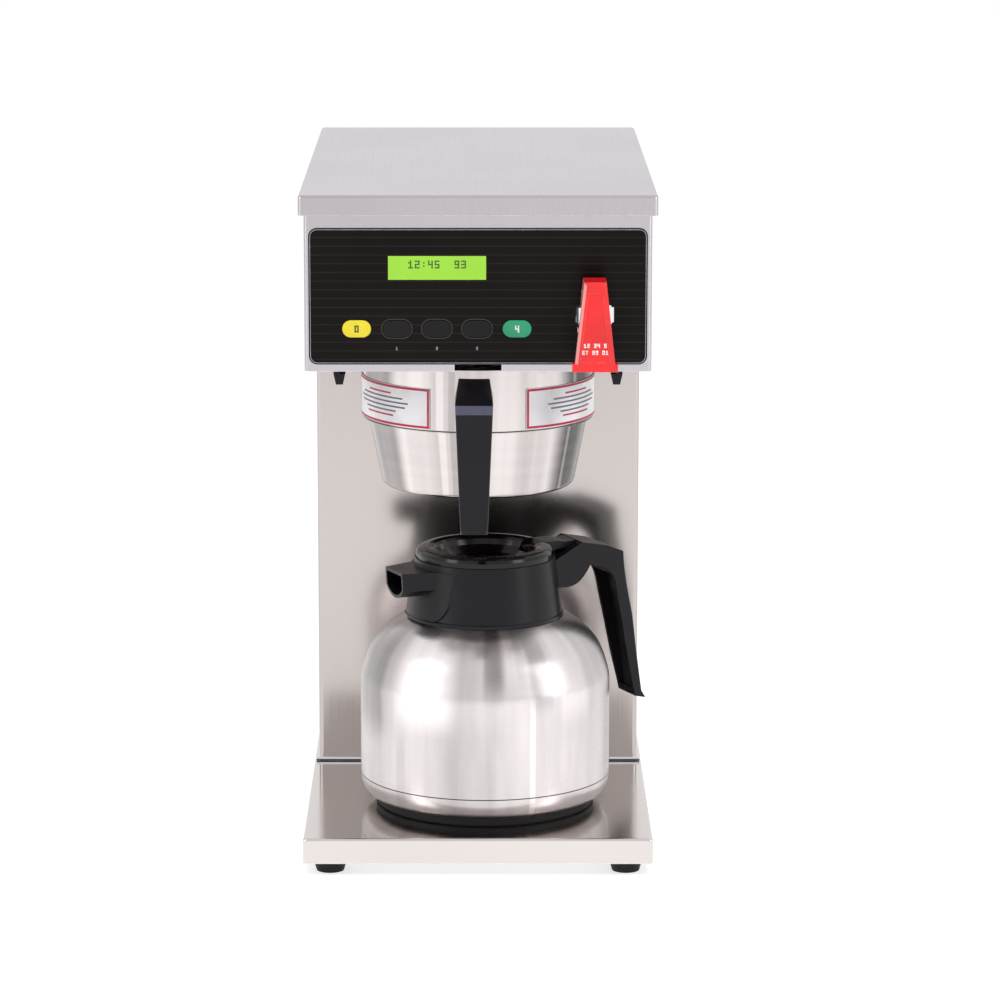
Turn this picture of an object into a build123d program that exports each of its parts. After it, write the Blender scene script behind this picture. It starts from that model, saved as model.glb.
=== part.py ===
from build123d import *
import math
import os

os.makedirs("parts", exist_ok=True)

# Coffee brewer with a vacuum carafe. Millimetres, +Z up, front towards -Y.
# The origin lies on the table under the middle of the whole object's box.

# Sheet metal and fits
sheet = 1.2
bend = 3.0
seam = 0.3
touch_gap = 0.1
pin_play = 0.05

# Heights of the housing, from the table up
foot_height = 7.8
base_plate_thickness = 1.5
base_lip = 16.9
bay_height = 307.8
head_height = 113.3
base_plate_bottom = foot_height
base_plate_top = base_plate_bottom + base_plate_thickness
base_top = base_plate_top + base_lip
head_bottom = base_top + bay_height
overall_height = head_bottom + head_height

# Widths and depths of the housing
body_width = 221.7
cover_overhang = 3.45
cover_depth = 419.0
half_body = body_width / 2
half_cover = half_body + cover_overhang
cover_width = 2 * half_cover
inner_half = half_body - sheet

# Feet and base
foot_radius = 11.0
foot_taper = 2.0
foot_rim = 1.0
foot_stem_radius = 3.0
foot_stem_rise = 2.0
foot_inset_x = 17.3
foot_inset_y = 20.0
base_plate_inset = 8.7
base_slot_pitch = 22.0
base_slot_count = 7
base_slot_length = 90.0
base_slot_width = 6.0

# Cover, head and column
cover_lip = 13.0
cover_under = overall_height - sheet
head_inset = 3.5
rear_inset = 3.5
column_inset = 203.0
head_return = 16.0
column_return = 12.0
panel_flange = 12.0
floor_rise = 10.0
floor_z = head_bottom + floor_rise
floor_top = floor_z + sheet
notch_width = 30.0
notch_height = 4.5

# How far the faucet reaches in front of the cover, and the water fitting behind it
handle_reach = 42.0
fitting_reach = 18.5
front_y = -(cover_depth + fitting_reach - handle_reach) / 2
rear_y = front_y + cover_depth
head_y = front_y + head_inset
column_y = front_y + column_inset
back_y = rear_y - rear_inset

# Control panel
overlay_width = body_width - 6.1
overlay_margin_low = 4.7
overlay_margin_high = 8.1
overlay_bottom = head_bottom + overlay_margin_low
overlay_top = overall_height - cover_lip - overlay_margin_high
overlay_height = overlay_top - overlay_bottom
overlay_corner = 5.5
overlay_thickness = 1.0
overlay_y = head_y - overlay_thickness
panel_back_y = head_y + sheet
display_width = 62.3
display_height = 15.2
display_drop = 25.4
display_x = -26.0
display_z = overlay_top - display_drop
button_width = 18.3
button_height = 11.0
button_pitch = 25.55
button_first_x = -77.3
button_rise = 23.0
button_z = overlay_bottom + button_rise
button_count = 5
button_proud = 0.8
button_travel = 0.8
button_flange = 1.4
button_flange_depth = 1.0

# Faucet
faucet_x = 73.5
faucet_offset = 18.5
faucet_y = front_y - faucet_offset
shank_rise = 29.0
shank_z = head_bottom + shank_rise
shank_radius = 6.5
shank_bore = 3.5
shank_cover = 0.5
bonnet_radius = 13.0
bonnet_height = 11.0
bonnet_bottom = shank_z + shank_radius + shank_cover
bonnet_top = bonnet_bottom + bonnet_height
pivot_rise = 7.0
pivot_z = bonnet_top + pivot_rise
pivot_radius = 1.5
barrel_radius = 9.5
barrel_bottom = shank_z - shank_radius - shank_cover
nozzle_length = 11.0
nozzle_bottom = barrel_bottom - nozzle_length
nozzle_radius = 6.5
nozzle_bore = 4.2
stem_radius = 3.0
stem_lift = 3.0
handle_drop = 4.1
handle_bottom = nozzle_bottom - handle_drop
handle_rise = 9.5
handle_top = pivot_z + handle_rise
handle_top_width = 14.0
handle_bottom_width = 26.4
handle_wall = 2.2
handle_depth = 9.0
neck_depth = 10.0

# Rails under the head
ledge_play = 1.3
basket_wall = 1.2
rail_ledge = head_bottom - ledge_play - basket_wall - 2 * touch_gap
rail_height = 6.8
rail_bottom = rail_ledge - rail_height
rail_inner = 85.0
rail_web = 88.6
rail_outer = 92.5
rail_front_gap = 10.0
rail_length = 190.0
rail_start = front_y + rail_front_gap
rail_end = rail_start + rail_length

# Brew basket
bay_offset = 102.0
bay_y = front_y + bay_offset
flange_radius = rail_web - 1.0
flange_bottom = rail_ledge + 2 * touch_gap
ring_radius = 76.3
ring_height = 41.9
ring_bottom = flange_bottom - ring_height
ring_step = 1.0
bowl_top_radius = 72.3
bowl_low_radius = 63.4
bowl_height = 46.0
bowl_bottom = ring_bottom - bowl_height
bowl_corner = 6.0
outlet_radius = 7.0
outlet_bore = 4.0
outlet_length = 8.0
outlet_bottom = bowl_bottom - outlet_length

# Basket handle
grip_x = -2.5
grip_drop = 5.9
grip_length = 96.0
grip_top = flange_bottom - grip_drop
grip_bottom = grip_top - grip_length
grip_reach = 34.0
grip_root_width = 20.0
grip_width = 24.4
grip_end_width = 17.5
grip_depth = 13.0
arm_height = 26.6
arm_bottom = grip_top - arm_height
grip_screw_radius = 2.0
grip_screw_length = 14.0
grip_screw_pitch = 13.0
grip_screw_heights = [(grip_top + arm_bottom) / 2 + side * grip_screw_pitch / 2 for side in (-1, 1)]

# Carafe, from its foot up
carafe_x = 4.7
carafe_turn = 25.0
carafe_bottom = base_top + touch_gap
carafe_radius = 83.5
carafe_wall = 1.0
vacuum_gap = 6.0
foot_ring_radius = 73.0
foot_ring_height = 5.8
seam_height = 20.7
straight_height = 63.5
dome_height = 43.5
collar_height = 39.6
lid_rise = 7.4
seam_z = carafe_bottom + seam_height
shoulder_z = seam_z + straight_height
neck_z = shoulder_z + dome_height
collar_top = neck_z + collar_height
lid_top = collar_top + lid_rise
neck_radius = 52.6
collar_low_radius = 51.7
collar_top_radius = 46.9
lid_radius = 46.0


def front_plane(y):
    # A plane that faces the front, with its local x along +X and its local y along +Z
    return Plane.XZ.offset(-y)


def side_plane(x):
    # A plane that faces +X, with its local x along +Y and its local y along +Z
    return Plane.YZ.offset(x)


def block(x, y, z, mode=Mode.ADD):
    # An upright box between two values along each axis
    centre = ((x[0] + x[1]) / 2, (y[0] + y[1]) / 2, (z[0] + z[1]) / 2)
    with Locations(centre):
        Box(x[1] - x[0], y[1] - y[0], z[1] - z[0], mode=mode)


def lathe(points, centre, mode=Mode.ADD):
    # A solid turned about a vertical axis, from its (radius, height) points
    plane = Plane(origin=(centre[0], centre[1], 0), x_dir=(1, 0, 0), z_dir=(0, -1, 0))
    with BuildSketch(plane) as profile:
        Polygon(*points, align=None)
    axis = Axis((centre[0], centre[1], 0), (0, 0, 1))
    revolve(profile.sketch, axis=axis, mode=mode)


# Feet and base
foot_x = half_cover - foot_inset_x
foot_y = cover_depth / 2 - foot_inset_y
base_centre_y = front_y + cover_depth / 2
foot_places = [
    (side * foot_x, base_centre_y + end * foot_y)
    for side in (-1, 1)
    for end in (-1, 1)
]

with BuildPart() as rubber_feet:
    for place in foot_places:
        lathe(
            [
                (0, 0),
                (foot_radius - foot_taper, 0),
                (foot_radius, foot_height - foot_rim),
                (foot_radius, foot_height),
                (foot_stem_radius, foot_height),
                (foot_stem_radius, base_plate_top + foot_stem_rise),
                (0, base_plate_top + foot_stem_rise),
            ],
            place,
        )

rubber_feet.part.label = "rubber_feet"
export_step(rubber_feet.part, "parts/rubber_feet.step")

plate_half = half_cover - base_plate_inset
plate_y = (front_y + base_plate_inset, rear_y - base_plate_inset)
pan_under = base_top - sheet

with BuildPart() as base_plate:
    block((-plate_half, plate_half), plate_y, (base_plate_bottom, pan_under))
    block(
        (-plate_half + sheet, plate_half - sheet),
        (plate_y[0] + sheet, plate_y[1] - sheet),
        (base_plate_top, pan_under),
        Mode.SUBTRACT,
    )
    with Locations(*[(x, y, base_plate_top) for x, y in foot_places]):
        Hole(foot_stem_radius + pin_play, depth=2 * base_plate_thickness)
    with BuildSketch(Plane.XY.offset(base_plate_bottom)):
        with GridLocations(0, base_slot_pitch, 1, base_slot_count):
            with Locations((0, base_centre_y)):
                SlotOverall(base_slot_length, base_slot_width)
    extrude(amount=base_plate_thickness, mode=Mode.SUBTRACT)

base_plate.part.label = "base_plate"
export_step(base_plate.part, "parts/base_plate.step")

with BuildPart() as base_pan:
    block((-half_cover, half_cover), (front_y, rear_y), (base_plate_top, base_top))
    fillet(base_pan.edges().filter_by(Axis.Z), bend)
    fillet(base_pan.faces().sort_by(Axis.Z)[-1].edges(), bend - sheet)
    with BuildSketch(Plane.XY.offset(base_plate_top)):
        with Locations((0, base_centre_y)):
            RectangleRounded(cover_width - 2 * sheet, cover_depth - 2 * sheet, bend - sheet)
    extrude(amount=base_lip - sheet, mode=Mode.SUBTRACT)

base_pan.part.label = "base_pan"
export_step(base_pan.part, "parts/base_pan.step")

# Housing sheets. The head reaches forward over the bay, and the column stands behind it.
side_front_y = head_y + head_return + seam
side_column_y = column_y + column_return + seam
rear_flange_y = back_y - sheet


def side_panel(side):
    # An upside-down L with an inward flange along its top and its back edge
    outer = side * half_body
    with BuildPart() as panel:
        with BuildSketch(side_plane(outer)):
            with BuildLine():
                Polyline(
                    (side_column_y, base_top),
                    (rear_flange_y, base_top),
                    (rear_flange_y, cover_under),
                    (side_front_y, cover_under),
                    (side_front_y, head_bottom),
                    (side_column_y, head_bottom),
                    close=True,
                )
            make_face()
        extrude(amount=-side * sheet)
        across = sorted((side * (half_body - panel_flange), outer))
        block(across, (side_front_y, rear_flange_y), (cover_under - sheet, cover_under))
        block(across, (rear_flange_y - sheet, rear_flange_y), (base_top, cover_under))
        block(across, (side_column_y, rear_flange_y), (base_top, base_top + sheet))
        with BuildSketch(front_plane(rear_flange_y)):
            with Locations(*[(side * rear_screw_x, z) for z in rear_screw_heights]):
                Circle(screw_radius + pin_play)
        extrude(amount=sheet, mode=Mode.SUBTRACT)
    return panel


screw_radius = 1.9
screw_head_radius = 3.8
screw_head_height = 1.8
screw_head_taper = 30
screw_length = 6.0
rear_screw_x = half_body - panel_flange / 2
rear_screw_low = base_top + 24.0
rear_screw_high = cover_under - 40.0
rear_screw_heights = [rear_screw_low, (rear_screw_low + rear_screw_high) / 2, rear_screw_high]
cover_screw_x = 70.0
cover_screw_z = overall_height - cover_lip / 2

left_panel = side_panel(-1)
left_panel.part.label = "left_side_panel"
export_step(left_panel.part, "parts/left_side_panel.step")

right_panel = side_panel(1)
right_panel.part.label = "right_side_panel"
export_step(right_panel.part, "parts/right_side_panel.step")

with BuildPart() as splash_panel:
    block((-half_body, half_body), (column_y, column_y + column_return), (base_top, head_bottom - seam))
    fillet(splash_panel.edges().filter_by(Axis.Z).group_by(Axis.Y)[0], bend)
    block(
        (-inner_half, inner_half),
        (column_y + sheet, column_y + column_return),
        (base_top, head_bottom - seam),
        Mode.SUBTRACT,
    )
    upper_half = inner_half - seam
    block((-upper_half, upper_half), (column_y, column_y + sheet), (head_bottom - seam, floor_z))

splash_panel.part.label = "splash_panel"
export_step(splash_panel.part, "parts/splash_panel.step")

inlet_x = -60.0
inlet_rise = 45.0
inlet_z = base_top + inlet_rise
inlet_hole_radius = 11.0
gland_x = 60.0
gland_z = inlet_z
gland_hole_radius = 9.0
vent_count = 9
vent_pitch = 12.0
vent_length = 110.0
vent_width = 4.0
vent_drop = 90.0
vent_z = cover_under - vent_drop

with BuildPart() as rear_cover:
    block((-half_body, half_body), (rear_flange_y, back_y), (base_top, cover_under))
    with BuildSketch(front_plane(back_y)):
        with Locations(*[(s * rear_screw_x, z) for s in (-1, 1) for z in rear_screw_heights]):
            Circle(screw_radius + pin_play)
        with Locations(*[(s * cover_screw_x, cover_screw_z) for s in (-1, 1)]):
            Circle(screw_radius + pin_play)
        with Locations((inlet_x, inlet_z)):
            Circle(inlet_hole_radius)
        with Locations((gland_x, gland_z)):
            Circle(gland_hole_radius)
        with Locations((0, vent_z)):
            with GridLocations(0, vent_pitch, 1, vent_count):
                SlotOverall(vent_length, vent_width)
    extrude(amount=sheet, mode=Mode.SUBTRACT)

rear_cover.part.label = "rear_cover"
export_step(rear_cover.part, "parts/rear_cover.step")

with BuildPart() as head_front_panel:
    block((-half_body, half_body), (head_y, head_y + head_return), (head_bottom, cover_under))
    fillet(head_front_panel.edges().filter_by(Axis.Z).group_by(Axis.Y)[0], bend)
    block(
        (-inner_half, inner_half),
        (panel_back_y, head_y + head_return),
        (head_bottom + sheet, cover_under),
        Mode.SUBTRACT,
    )
    block(
        (-notch_width / 2, notch_width / 2),
        (head_y, head_y + head_return),
        (head_bottom, head_bottom + notch_height),
        Mode.SUBTRACT,
    )
    with BuildSketch(front_plane(panel_back_y)):
        for index in range(button_count):
            with Locations((button_first_x + index * button_pitch, button_z)):
                SlotOverall(button_width + 2 * seam, button_height + 2 * seam)
        with Locations((display_x, display_z)):
            Rectangle(display_width, display_height)
        with Locations((faucet_x, shank_z)):
            Circle(shank_radius + touch_gap)
    extrude(amount=sheet, mode=Mode.SUBTRACT)

head_front_panel.part.label = "head_front_panel"
export_step(head_front_panel.part, "parts/head_front_panel.step")

spray_hole_radius = 9.0
floor_flange = 10.0
with BuildPart() as head_floor:
    block((-inner_half, inner_half), (side_front_y, column_y), (floor_z, floor_top))
    for side in (-1, 1):
        across = sorted((side * (inner_half - sheet), side * inner_half))
        block(across, (side_front_y, column_y), (floor_top, floor_top + floor_flange))
    block(
        (-inner_half, inner_half),
        (side_front_y, side_front_y + sheet),
        (floor_top, floor_top + floor_flange),
    )
    with Locations((0, bay_y, floor_top)):
        Hole(spray_hole_radius, depth=2 * sheet)

head_floor.part.label = "head_floor"
export_step(head_floor.part, "parts/head_floor.step")

with BuildPart() as top_cover:
    block((-half_cover, half_cover), (front_y, rear_y), (overall_height - cover_lip, overall_height))
    fillet(top_cover.edges().filter_by(Axis.Z), bend)
    fillet(top_cover.faces().sort_by(Axis.Z)[-1].edges(), bend - sheet)
    with BuildSketch(Plane.XY.offset(overall_height - cover_lip)):
        with Locations((0, base_centre_y)):
            RectangleRounded(cover_width - 2 * sheet, cover_depth - 2 * sheet, bend - sheet)
    extrude(amount=cover_lip - sheet, mode=Mode.SUBTRACT)
    with BuildSketch(front_plane(rear_y)):
        with Locations(*[(s * cover_screw_x, cover_screw_z) for s in (-1, 1)]):
            Circle(screw_radius + pin_play)
    extrude(amount=sheet, mode=Mode.SUBTRACT)

top_cover.part.label = "top_cover"
export_step(top_cover.part, "parts/top_cover.step")


def screw_places():
    # Where each housing screw's head seats, as (x, y, z) with the shank running towards -Y
    rear = [(s * rear_screw_x, back_y, z) for s in (-1, 1) for z in rear_screw_heights]
    top = [(s * cover_screw_x, rear_y, cover_screw_z) for s in (-1, 1)]
    return rear + top


with BuildPart() as cover_screws:
    for x, y, z in screw_places():
        with BuildSketch(front_plane(y)):
            with Locations((x, z)):
                Circle(screw_radius)
        extrude(amount=screw_length)
        with BuildSketch(front_plane(y)):
            with Locations((x, z)):
                Circle(screw_head_radius)
        extrude(amount=-screw_head_height, taper=screw_head_taper)

cover_screws.part.label = "cover_screws"
export_step(cover_screws.part, "parts/cover_screws.step")

# Control panel
overlay_z = overlay_bottom + overlay_height / 2
button_places = [button_first_x + index * button_pitch for index in range(button_count)]
button_names = ["power_button", "half_batch_button", "full_batch_button", "select_button", "brew_button"]
flange_y = panel_back_y + seam
switch_gap = button_travel + seam
board_thickness = 1.6
switch_height = 3.5
switch_size = 6.0
plunger_length = 5.0
plunger_radius = 2.5
board_y = flange_y + button_flange_depth + plunger_length + switch_gap + switch_height
display_depth = 9.0
display_margin = 6.0
module_corner = 2.0
module_tab = (8.0, 4.0, 16.0)

with BuildPart() as control_overlay:
    with BuildSketch(front_plane(head_y)):
        with Locations((0, overlay_z)):
            RectangleRounded(overlay_width, overlay_height, overlay_corner)
        with Locations((display_x, display_z)):
            Rectangle(display_width, display_height, mode=Mode.SUBTRACT)
        for x in button_places:
            with Locations((x, button_z)):
                SlotOverall(button_width + 2 * seam, button_height + 2 * seam, mode=Mode.SUBTRACT)
        with Locations((faucet_x, shank_z)):
            Circle(shank_radius + touch_gap, mode=Mode.SUBTRACT)
    extrude(amount=overlay_thickness)

control_overlay.part.label = "control_overlay"
export_step(control_overlay.part, "parts/control_overlay.step")

with BuildPart() as display_window:
    with BuildSketch(front_plane(panel_back_y)):
        with Locations((display_x, display_z)):
            Rectangle(display_width, display_height)
    extrude(amount=sheet + overlay_thickness)

display_window.part.label = "display_window"
export_step(display_window.part, "parts/display_window.step")

display_half = display_width / 2 + display_margin
with BuildPart() as display_module:
    block(
        (display_x - display_half, display_x + display_half),
        (panel_back_y, panel_back_y + display_depth),
        (display_z - display_height / 2 - display_margin, display_z + display_height / 2 + display_margin),
    )
    fillet(display_module.edges().filter_by(Axis.Y), module_corner)
    with GridLocations(display_width, 0, 2, 1):
        with Locations((display_x, panel_back_y + display_depth + module_tab[1] / 2, display_z)):
            Box(*module_tab)

display_module.part.label = "display_module"
export_step(display_module.part, "parts/display_module.step")

board_margin = 19.0
standoff_radius = 2.5
board_x = (button_places[0] - board_margin, button_places[-1] + board_margin)
standoff_x = (board_x[0] + 2 * standoff_radius, board_x[1] - 2 * standoff_radius)
board_half_height = 12.0
board_z = (button_z - board_half_height, button_z + board_half_height)

with BuildPart() as button_board:
    block(board_x, (board_y, board_y + board_thickness), board_z)
    for x in button_places:
        block(
            (x - switch_size / 2, x + switch_size / 2),
            (board_y - switch_height, board_y),
            (button_z - switch_size / 2, button_z + switch_size / 2),
        )
    for x in standoff_x:
        with BuildSketch(front_plane(board_y)):
            with Locations((x, button_z)):
                Circle(standoff_radius)
        extrude(amount=board_y - panel_back_y)

button_board.part.label = "button_board"
export_step(button_board.part, "parts/button_board.step")


def make_button(x):
    # An oval cap that stands proud of the overlay, with a retaining flange and a plunger behind
    with BuildPart() as button:
        with BuildSketch(front_plane(flange_y)):
            with Locations((x, button_z)):
                SlotOverall(button_width, button_height)
        extrude(amount=flange_y - overlay_y + button_proud)
        fillet(button.faces().sort_by(Axis.Y)[0].edges(), button_proud / 2)
        with BuildSketch(front_plane(flange_y)):
            with Locations((x, button_z)):
                SlotOverall(button_width + 2 * button_flange, button_height + 2 * button_flange)
        extrude(amount=-button_flange_depth)
        with BuildSketch(front_plane(flange_y + button_flange_depth)):
            with Locations((x, button_z)):
                Circle(plunger_radius)
        extrude(amount=-plunger_length)
    return button


for button_name, button_x in zip(button_names, button_places):
    button = make_button(button_x)
    button.part.label = button_name
    export_step(button.part, f"parts/{button_name}.step")

# Electrics behind the panel and in the column
card_size = (110.0, 80.0)
card_gap = 2.6
card_offset = 52.0
card_centre = (card_gap + card_size[0] / 2 - inner_half, bay_y + card_offset)
card_lift = 8.0
card_z = floor_top + card_lift
card_top = card_z + board_thickness
spacer_radius = 3.0
spacer_inset = 4.0
relay_size = (19.0, 15.0, 15.0)
relay_pitch = 26.0
capacitor_radius = 5.0
capacitor_height = 12.0
capacitor_pitch = 20.0
connector_size = (70.0, 9.0, 10.0)
row_offset = 26.0

with BuildPart() as control_board:
    with BuildSketch(Plane.XY.offset(card_z)):
        with Locations(card_centre):
            Rectangle(*card_size)
    extrude(amount=board_thickness)
    with BuildSketch(Plane.XY.offset(floor_top)):
        with Locations(card_centre):
            with GridLocations(card_size[0] - 2 * spacer_inset, card_size[1] - 2 * spacer_inset, 2, 2):
                Circle(spacer_radius)
    extrude(amount=card_lift)
    with BuildSketch(Plane.XY.offset(card_top)):
        with Locations(card_centre):
            with GridLocations(relay_pitch, 0, 3, 1):
                Rectangle(relay_size[0], relay_size[1])
    extrude(amount=relay_size[2])
    with BuildSketch(Plane.XY.offset(card_top)):
        with Locations((card_centre[0], card_centre[1] + row_offset)):
            with GridLocations(capacitor_pitch, 0, 4, 1):
                Circle(capacitor_radius)
    extrude(amount=capacitor_height)
    with BuildSketch(Plane.XY.offset(card_top)):
        with Locations((card_centre[0], card_centre[1] - row_offset)):
            Rectangle(connector_size[0], connector_size[1])
    extrude(amount=connector_size[2])

control_board.part.label = "control_board"
export_step(control_board.part, "parts/control_board.step")

core_size = (54.0, 30.0, 45.0)
core_inset = 32.0
core_offset = 60.0
core_centre = (inner_half - core_inset - core_size[0] / 2, bay_y + core_offset)
core_ear = 12.0
core_ear_thickness = 2.0
winding_inset = 9.0
winding_swell = 11.0
winding_corner = 8.0

with BuildPart() as transformer:
    with BuildSketch(Plane.XY.offset(floor_top)):
        with Locations(core_centre):
            Rectangle(core_size[0] + 2 * core_ear, core_size[1])
    extrude(amount=core_ear_thickness)
    with BuildSketch(Plane.XY.offset(floor_top)):
        with Locations(core_centre):
            Rectangle(core_size[0], core_size[1])
    extrude(amount=core_size[2])
    with BuildSketch(Plane.XY.offset(floor_top + winding_inset)):
        with Locations(core_centre):
            RectangleRounded(
                core_size[0] - 2 * winding_inset,
                core_size[1] + 2 * winding_swell,
                winding_corner,
            )
    extrude(amount=core_size[2] - 2 * winding_inset)

transformer.part.label = "transformer"
export_step(transformer.part, "parts/transformer.step")

terminal_size = (52.0, 24.0, 16.0)
terminal_inset = 38.0
terminal_centre = (gland_x, back_y - terminal_inset)
terminal_pitch = (16.0, 10.0)
terminal_hole_radius = 3.2
terminal_hole_depth = 9.0

with BuildPart() as terminal_block:
    with BuildSketch(Plane.XY.offset(base_top)):
        with Locations(terminal_centre):
            Rectangle(terminal_size[0], terminal_size[1])
    extrude(amount=terminal_size[2])
    with BuildSketch(Plane.XY.offset(base_top + terminal_size[2])):
        with Locations(terminal_centre):
            with GridLocations(*terminal_pitch, 3, 2):
                Circle(terminal_hole_radius)
    extrude(amount=-terminal_hole_depth, mode=Mode.SUBTRACT)

terminal_block.part.label = "terminal_block"
export_step(terminal_block.part, "parts/terminal_block.step")

# Faucet. Its barrel hangs in front of the panel on a threaded shank with a nut behind.
faucet_centre = (faucet_x, faucet_y)
shank_length = 22.0
shank_end = panel_back_y + shank_length
flange_rim = 4.0
flange_depth = 2.0
nut_depth = 6.0
spring_wire = 0.5
spring_radius = 4.3
spring_turns = 5
seat_rise = 1.5
seat_cone = 0.3
stem_bottom = barrel_bottom + seat_rise
stem_foot_radius = 5.6
stem_foot = 2.5
barrel_bore = 6.2
barrel_flare = 6.0
nozzle_shoulder = 4.0
neck_rise = 5.0
neck_top = pivot_z + neck_rise
neck_half_width = handle_top_width / 2 - handle_wall
neck_corner = 3.0
bonnet_chamfer = 1.5
stem_cover = 0.5
stem_top = neck_top - stem_cover
slot_half = pivot_radius + pin_play

with BuildPart() as faucet_body:
    lathe(
        [
            (nozzle_bore, nozzle_bottom),
            (nozzle_radius, nozzle_bottom),
            (nozzle_radius, barrel_bottom - nozzle_shoulder),
            (barrel_radius, barrel_bottom),
            (barrel_radius, bonnet_bottom - barrel_flare),
            (bonnet_radius, bonnet_bottom),
            (barrel_bore, bonnet_bottom),
            (barrel_bore, stem_bottom),
            (nozzle_bore, stem_bottom - seat_cone),
        ],
        faucet_centre,
    )
    with BuildSketch(front_plane(shank_end)):
        with Locations((faucet_x, shank_z)):
            Circle(shank_radius)
    extrude(amount=shank_end - faucet_y)
    with BuildSketch(front_plane(overlay_y)):
        with Locations((faucet_x, shank_z)):
            Circle(shank_radius + flange_rim)
    extrude(amount=flange_depth)
    lathe(
        [
            (0, nozzle_bottom),
            (nozzle_bore, nozzle_bottom),
            (nozzle_bore, stem_bottom - seat_cone),
            (barrel_bore, stem_bottom),
            (barrel_bore, bonnet_bottom),
            (0, bonnet_bottom),
        ],
        faucet_centre,
        Mode.SUBTRACT,
    )
    with BuildSketch(front_plane(shank_end)):
        with Locations((faucet_x, shank_z)):
            Circle(shank_bore)
    extrude(amount=shank_end - faucet_y, mode=Mode.SUBTRACT)

faucet_body.part.label = "faucet_body"
export_step(faucet_body.part, "parts/faucet_body.step")

with BuildPart() as faucet_nut:
    with BuildSketch(front_plane(panel_back_y)):
        with Locations((faucet_x, shank_z)):
            RegularPolygon(shank_radius + flange_rim, 6)
            Circle(shank_radius + pin_play, mode=Mode.SUBTRACT)
    extrude(amount=-nut_depth)

faucet_nut.part.label = "faucet_nut"
export_step(faucet_nut.part, "parts/faucet_nut.step")

with BuildPart() as faucet_bonnet:
    with BuildSketch(Plane.XY.offset(bonnet_bottom)):
        with Locations(faucet_centre):
            Circle(bonnet_radius)
    extrude(amount=bonnet_top - bonnet_bottom)
    chamfer(faucet_bonnet.faces().sort_by(Axis.Z)[-1].edges(), bonnet_chamfer)
    block(
        (faucet_x - neck_half_width, faucet_x + neck_half_width),
        (faucet_y - neck_depth / 2, faucet_y + neck_depth / 2),
        (bonnet_bottom, neck_top),
    )
    fillet(faucet_bonnet.faces().sort_by(Axis.Z)[-1].edges().filter_by(Axis.X), neck_corner)
    with BuildSketch(Plane.XY.offset(bonnet_bottom)):
        with Locations(faucet_centre):
            Circle(stem_radius + pin_play)
    extrude(amount=neck_top - bonnet_bottom, mode=Mode.SUBTRACT)
    with BuildSketch(side_plane(faucet_x - neck_half_width)):
        with Locations((faucet_y, pivot_z)):
            Circle(pivot_radius + pin_play)
    extrude(amount=2 * neck_half_width, mode=Mode.SUBTRACT)

faucet_bonnet.part.label = "faucet_bonnet"
export_step(faucet_bonnet.part, "parts/faucet_bonnet.step")

with BuildPart() as faucet_stem:
    lathe(
        [
            (0, stem_bottom + touch_gap),
            (stem_foot_radius, stem_bottom + touch_gap),
            (stem_foot_radius, stem_bottom + stem_foot),
            (stem_radius, stem_bottom + stem_foot),
            (stem_radius, stem_top),
            (0, stem_top),
        ],
        faucet_centre,
    )
    with BuildSketch(side_plane(faucet_x - stem_radius)):
        with Locations((faucet_y, pivot_z - stem_lift / 2)):
            SlotOverall(stem_lift + 2 * slot_half + 2 * seam, 2 * slot_half, rotation=90)
    extrude(amount=2 * stem_radius, mode=Mode.SUBTRACT)

faucet_stem.part.label = "faucet_stem"
export_step(faucet_stem.part, "parts/faucet_stem.step")

spring_low = stem_bottom + stem_foot + spring_wire + pin_play
spring_high = bonnet_bottom - spring_wire - pin_play
with BuildPart() as faucet_spring:
    with BuildLine() as coil:
        Helix(
            (spring_high - spring_low) / spring_turns,
            spring_high - spring_low,
            spring_radius,
            center=(faucet_x, faucet_y, spring_low),
        )
    with BuildSketch(Plane(origin=coil.line @ 0, z_dir=coil.line % 0)):
        Circle(spring_wire)
    sweep(path=coil.line, is_frenet=True)

faucet_spring.part.label = "faucet_spring"
export_step(faucet_spring.part, "parts/faucet_spring.step")

# Faucet handle: a hollow paddle that hangs in front of the barrel from an eye at the top
handle_front = front_y - handle_reach
handle_slope = (handle_bottom_width - handle_top_width) / 2 / (handle_top - handle_bottom)
eye_back = 7.0
eye_clearance = 0.8
crown_drop = 4.0
crown_round = 2.0
cheek_drop = 16.0
paddle_wall = 2.4
paddle_chamfer = 1.8
recess_depth = 0.6
recess_rim = 3.2
recess_top = 7.0
foot_band = 5.0
foot_width = 28.8


def handle_front_view(inset, low, high):
    # The handle's front outline between two heights, drawn in by a wall all along its sides
    low_half = handle_top_width / 2 + (handle_top - low) * handle_slope - inset
    high_half = handle_top_width / 2 + (handle_top - high) * handle_slope - inset
    Polygon(
        (faucet_x - low_half, low),
        (faucet_x + low_half, low),
        (faucet_x + high_half, high),
        (faucet_x - high_half, high),
        align=None,
    )


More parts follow.
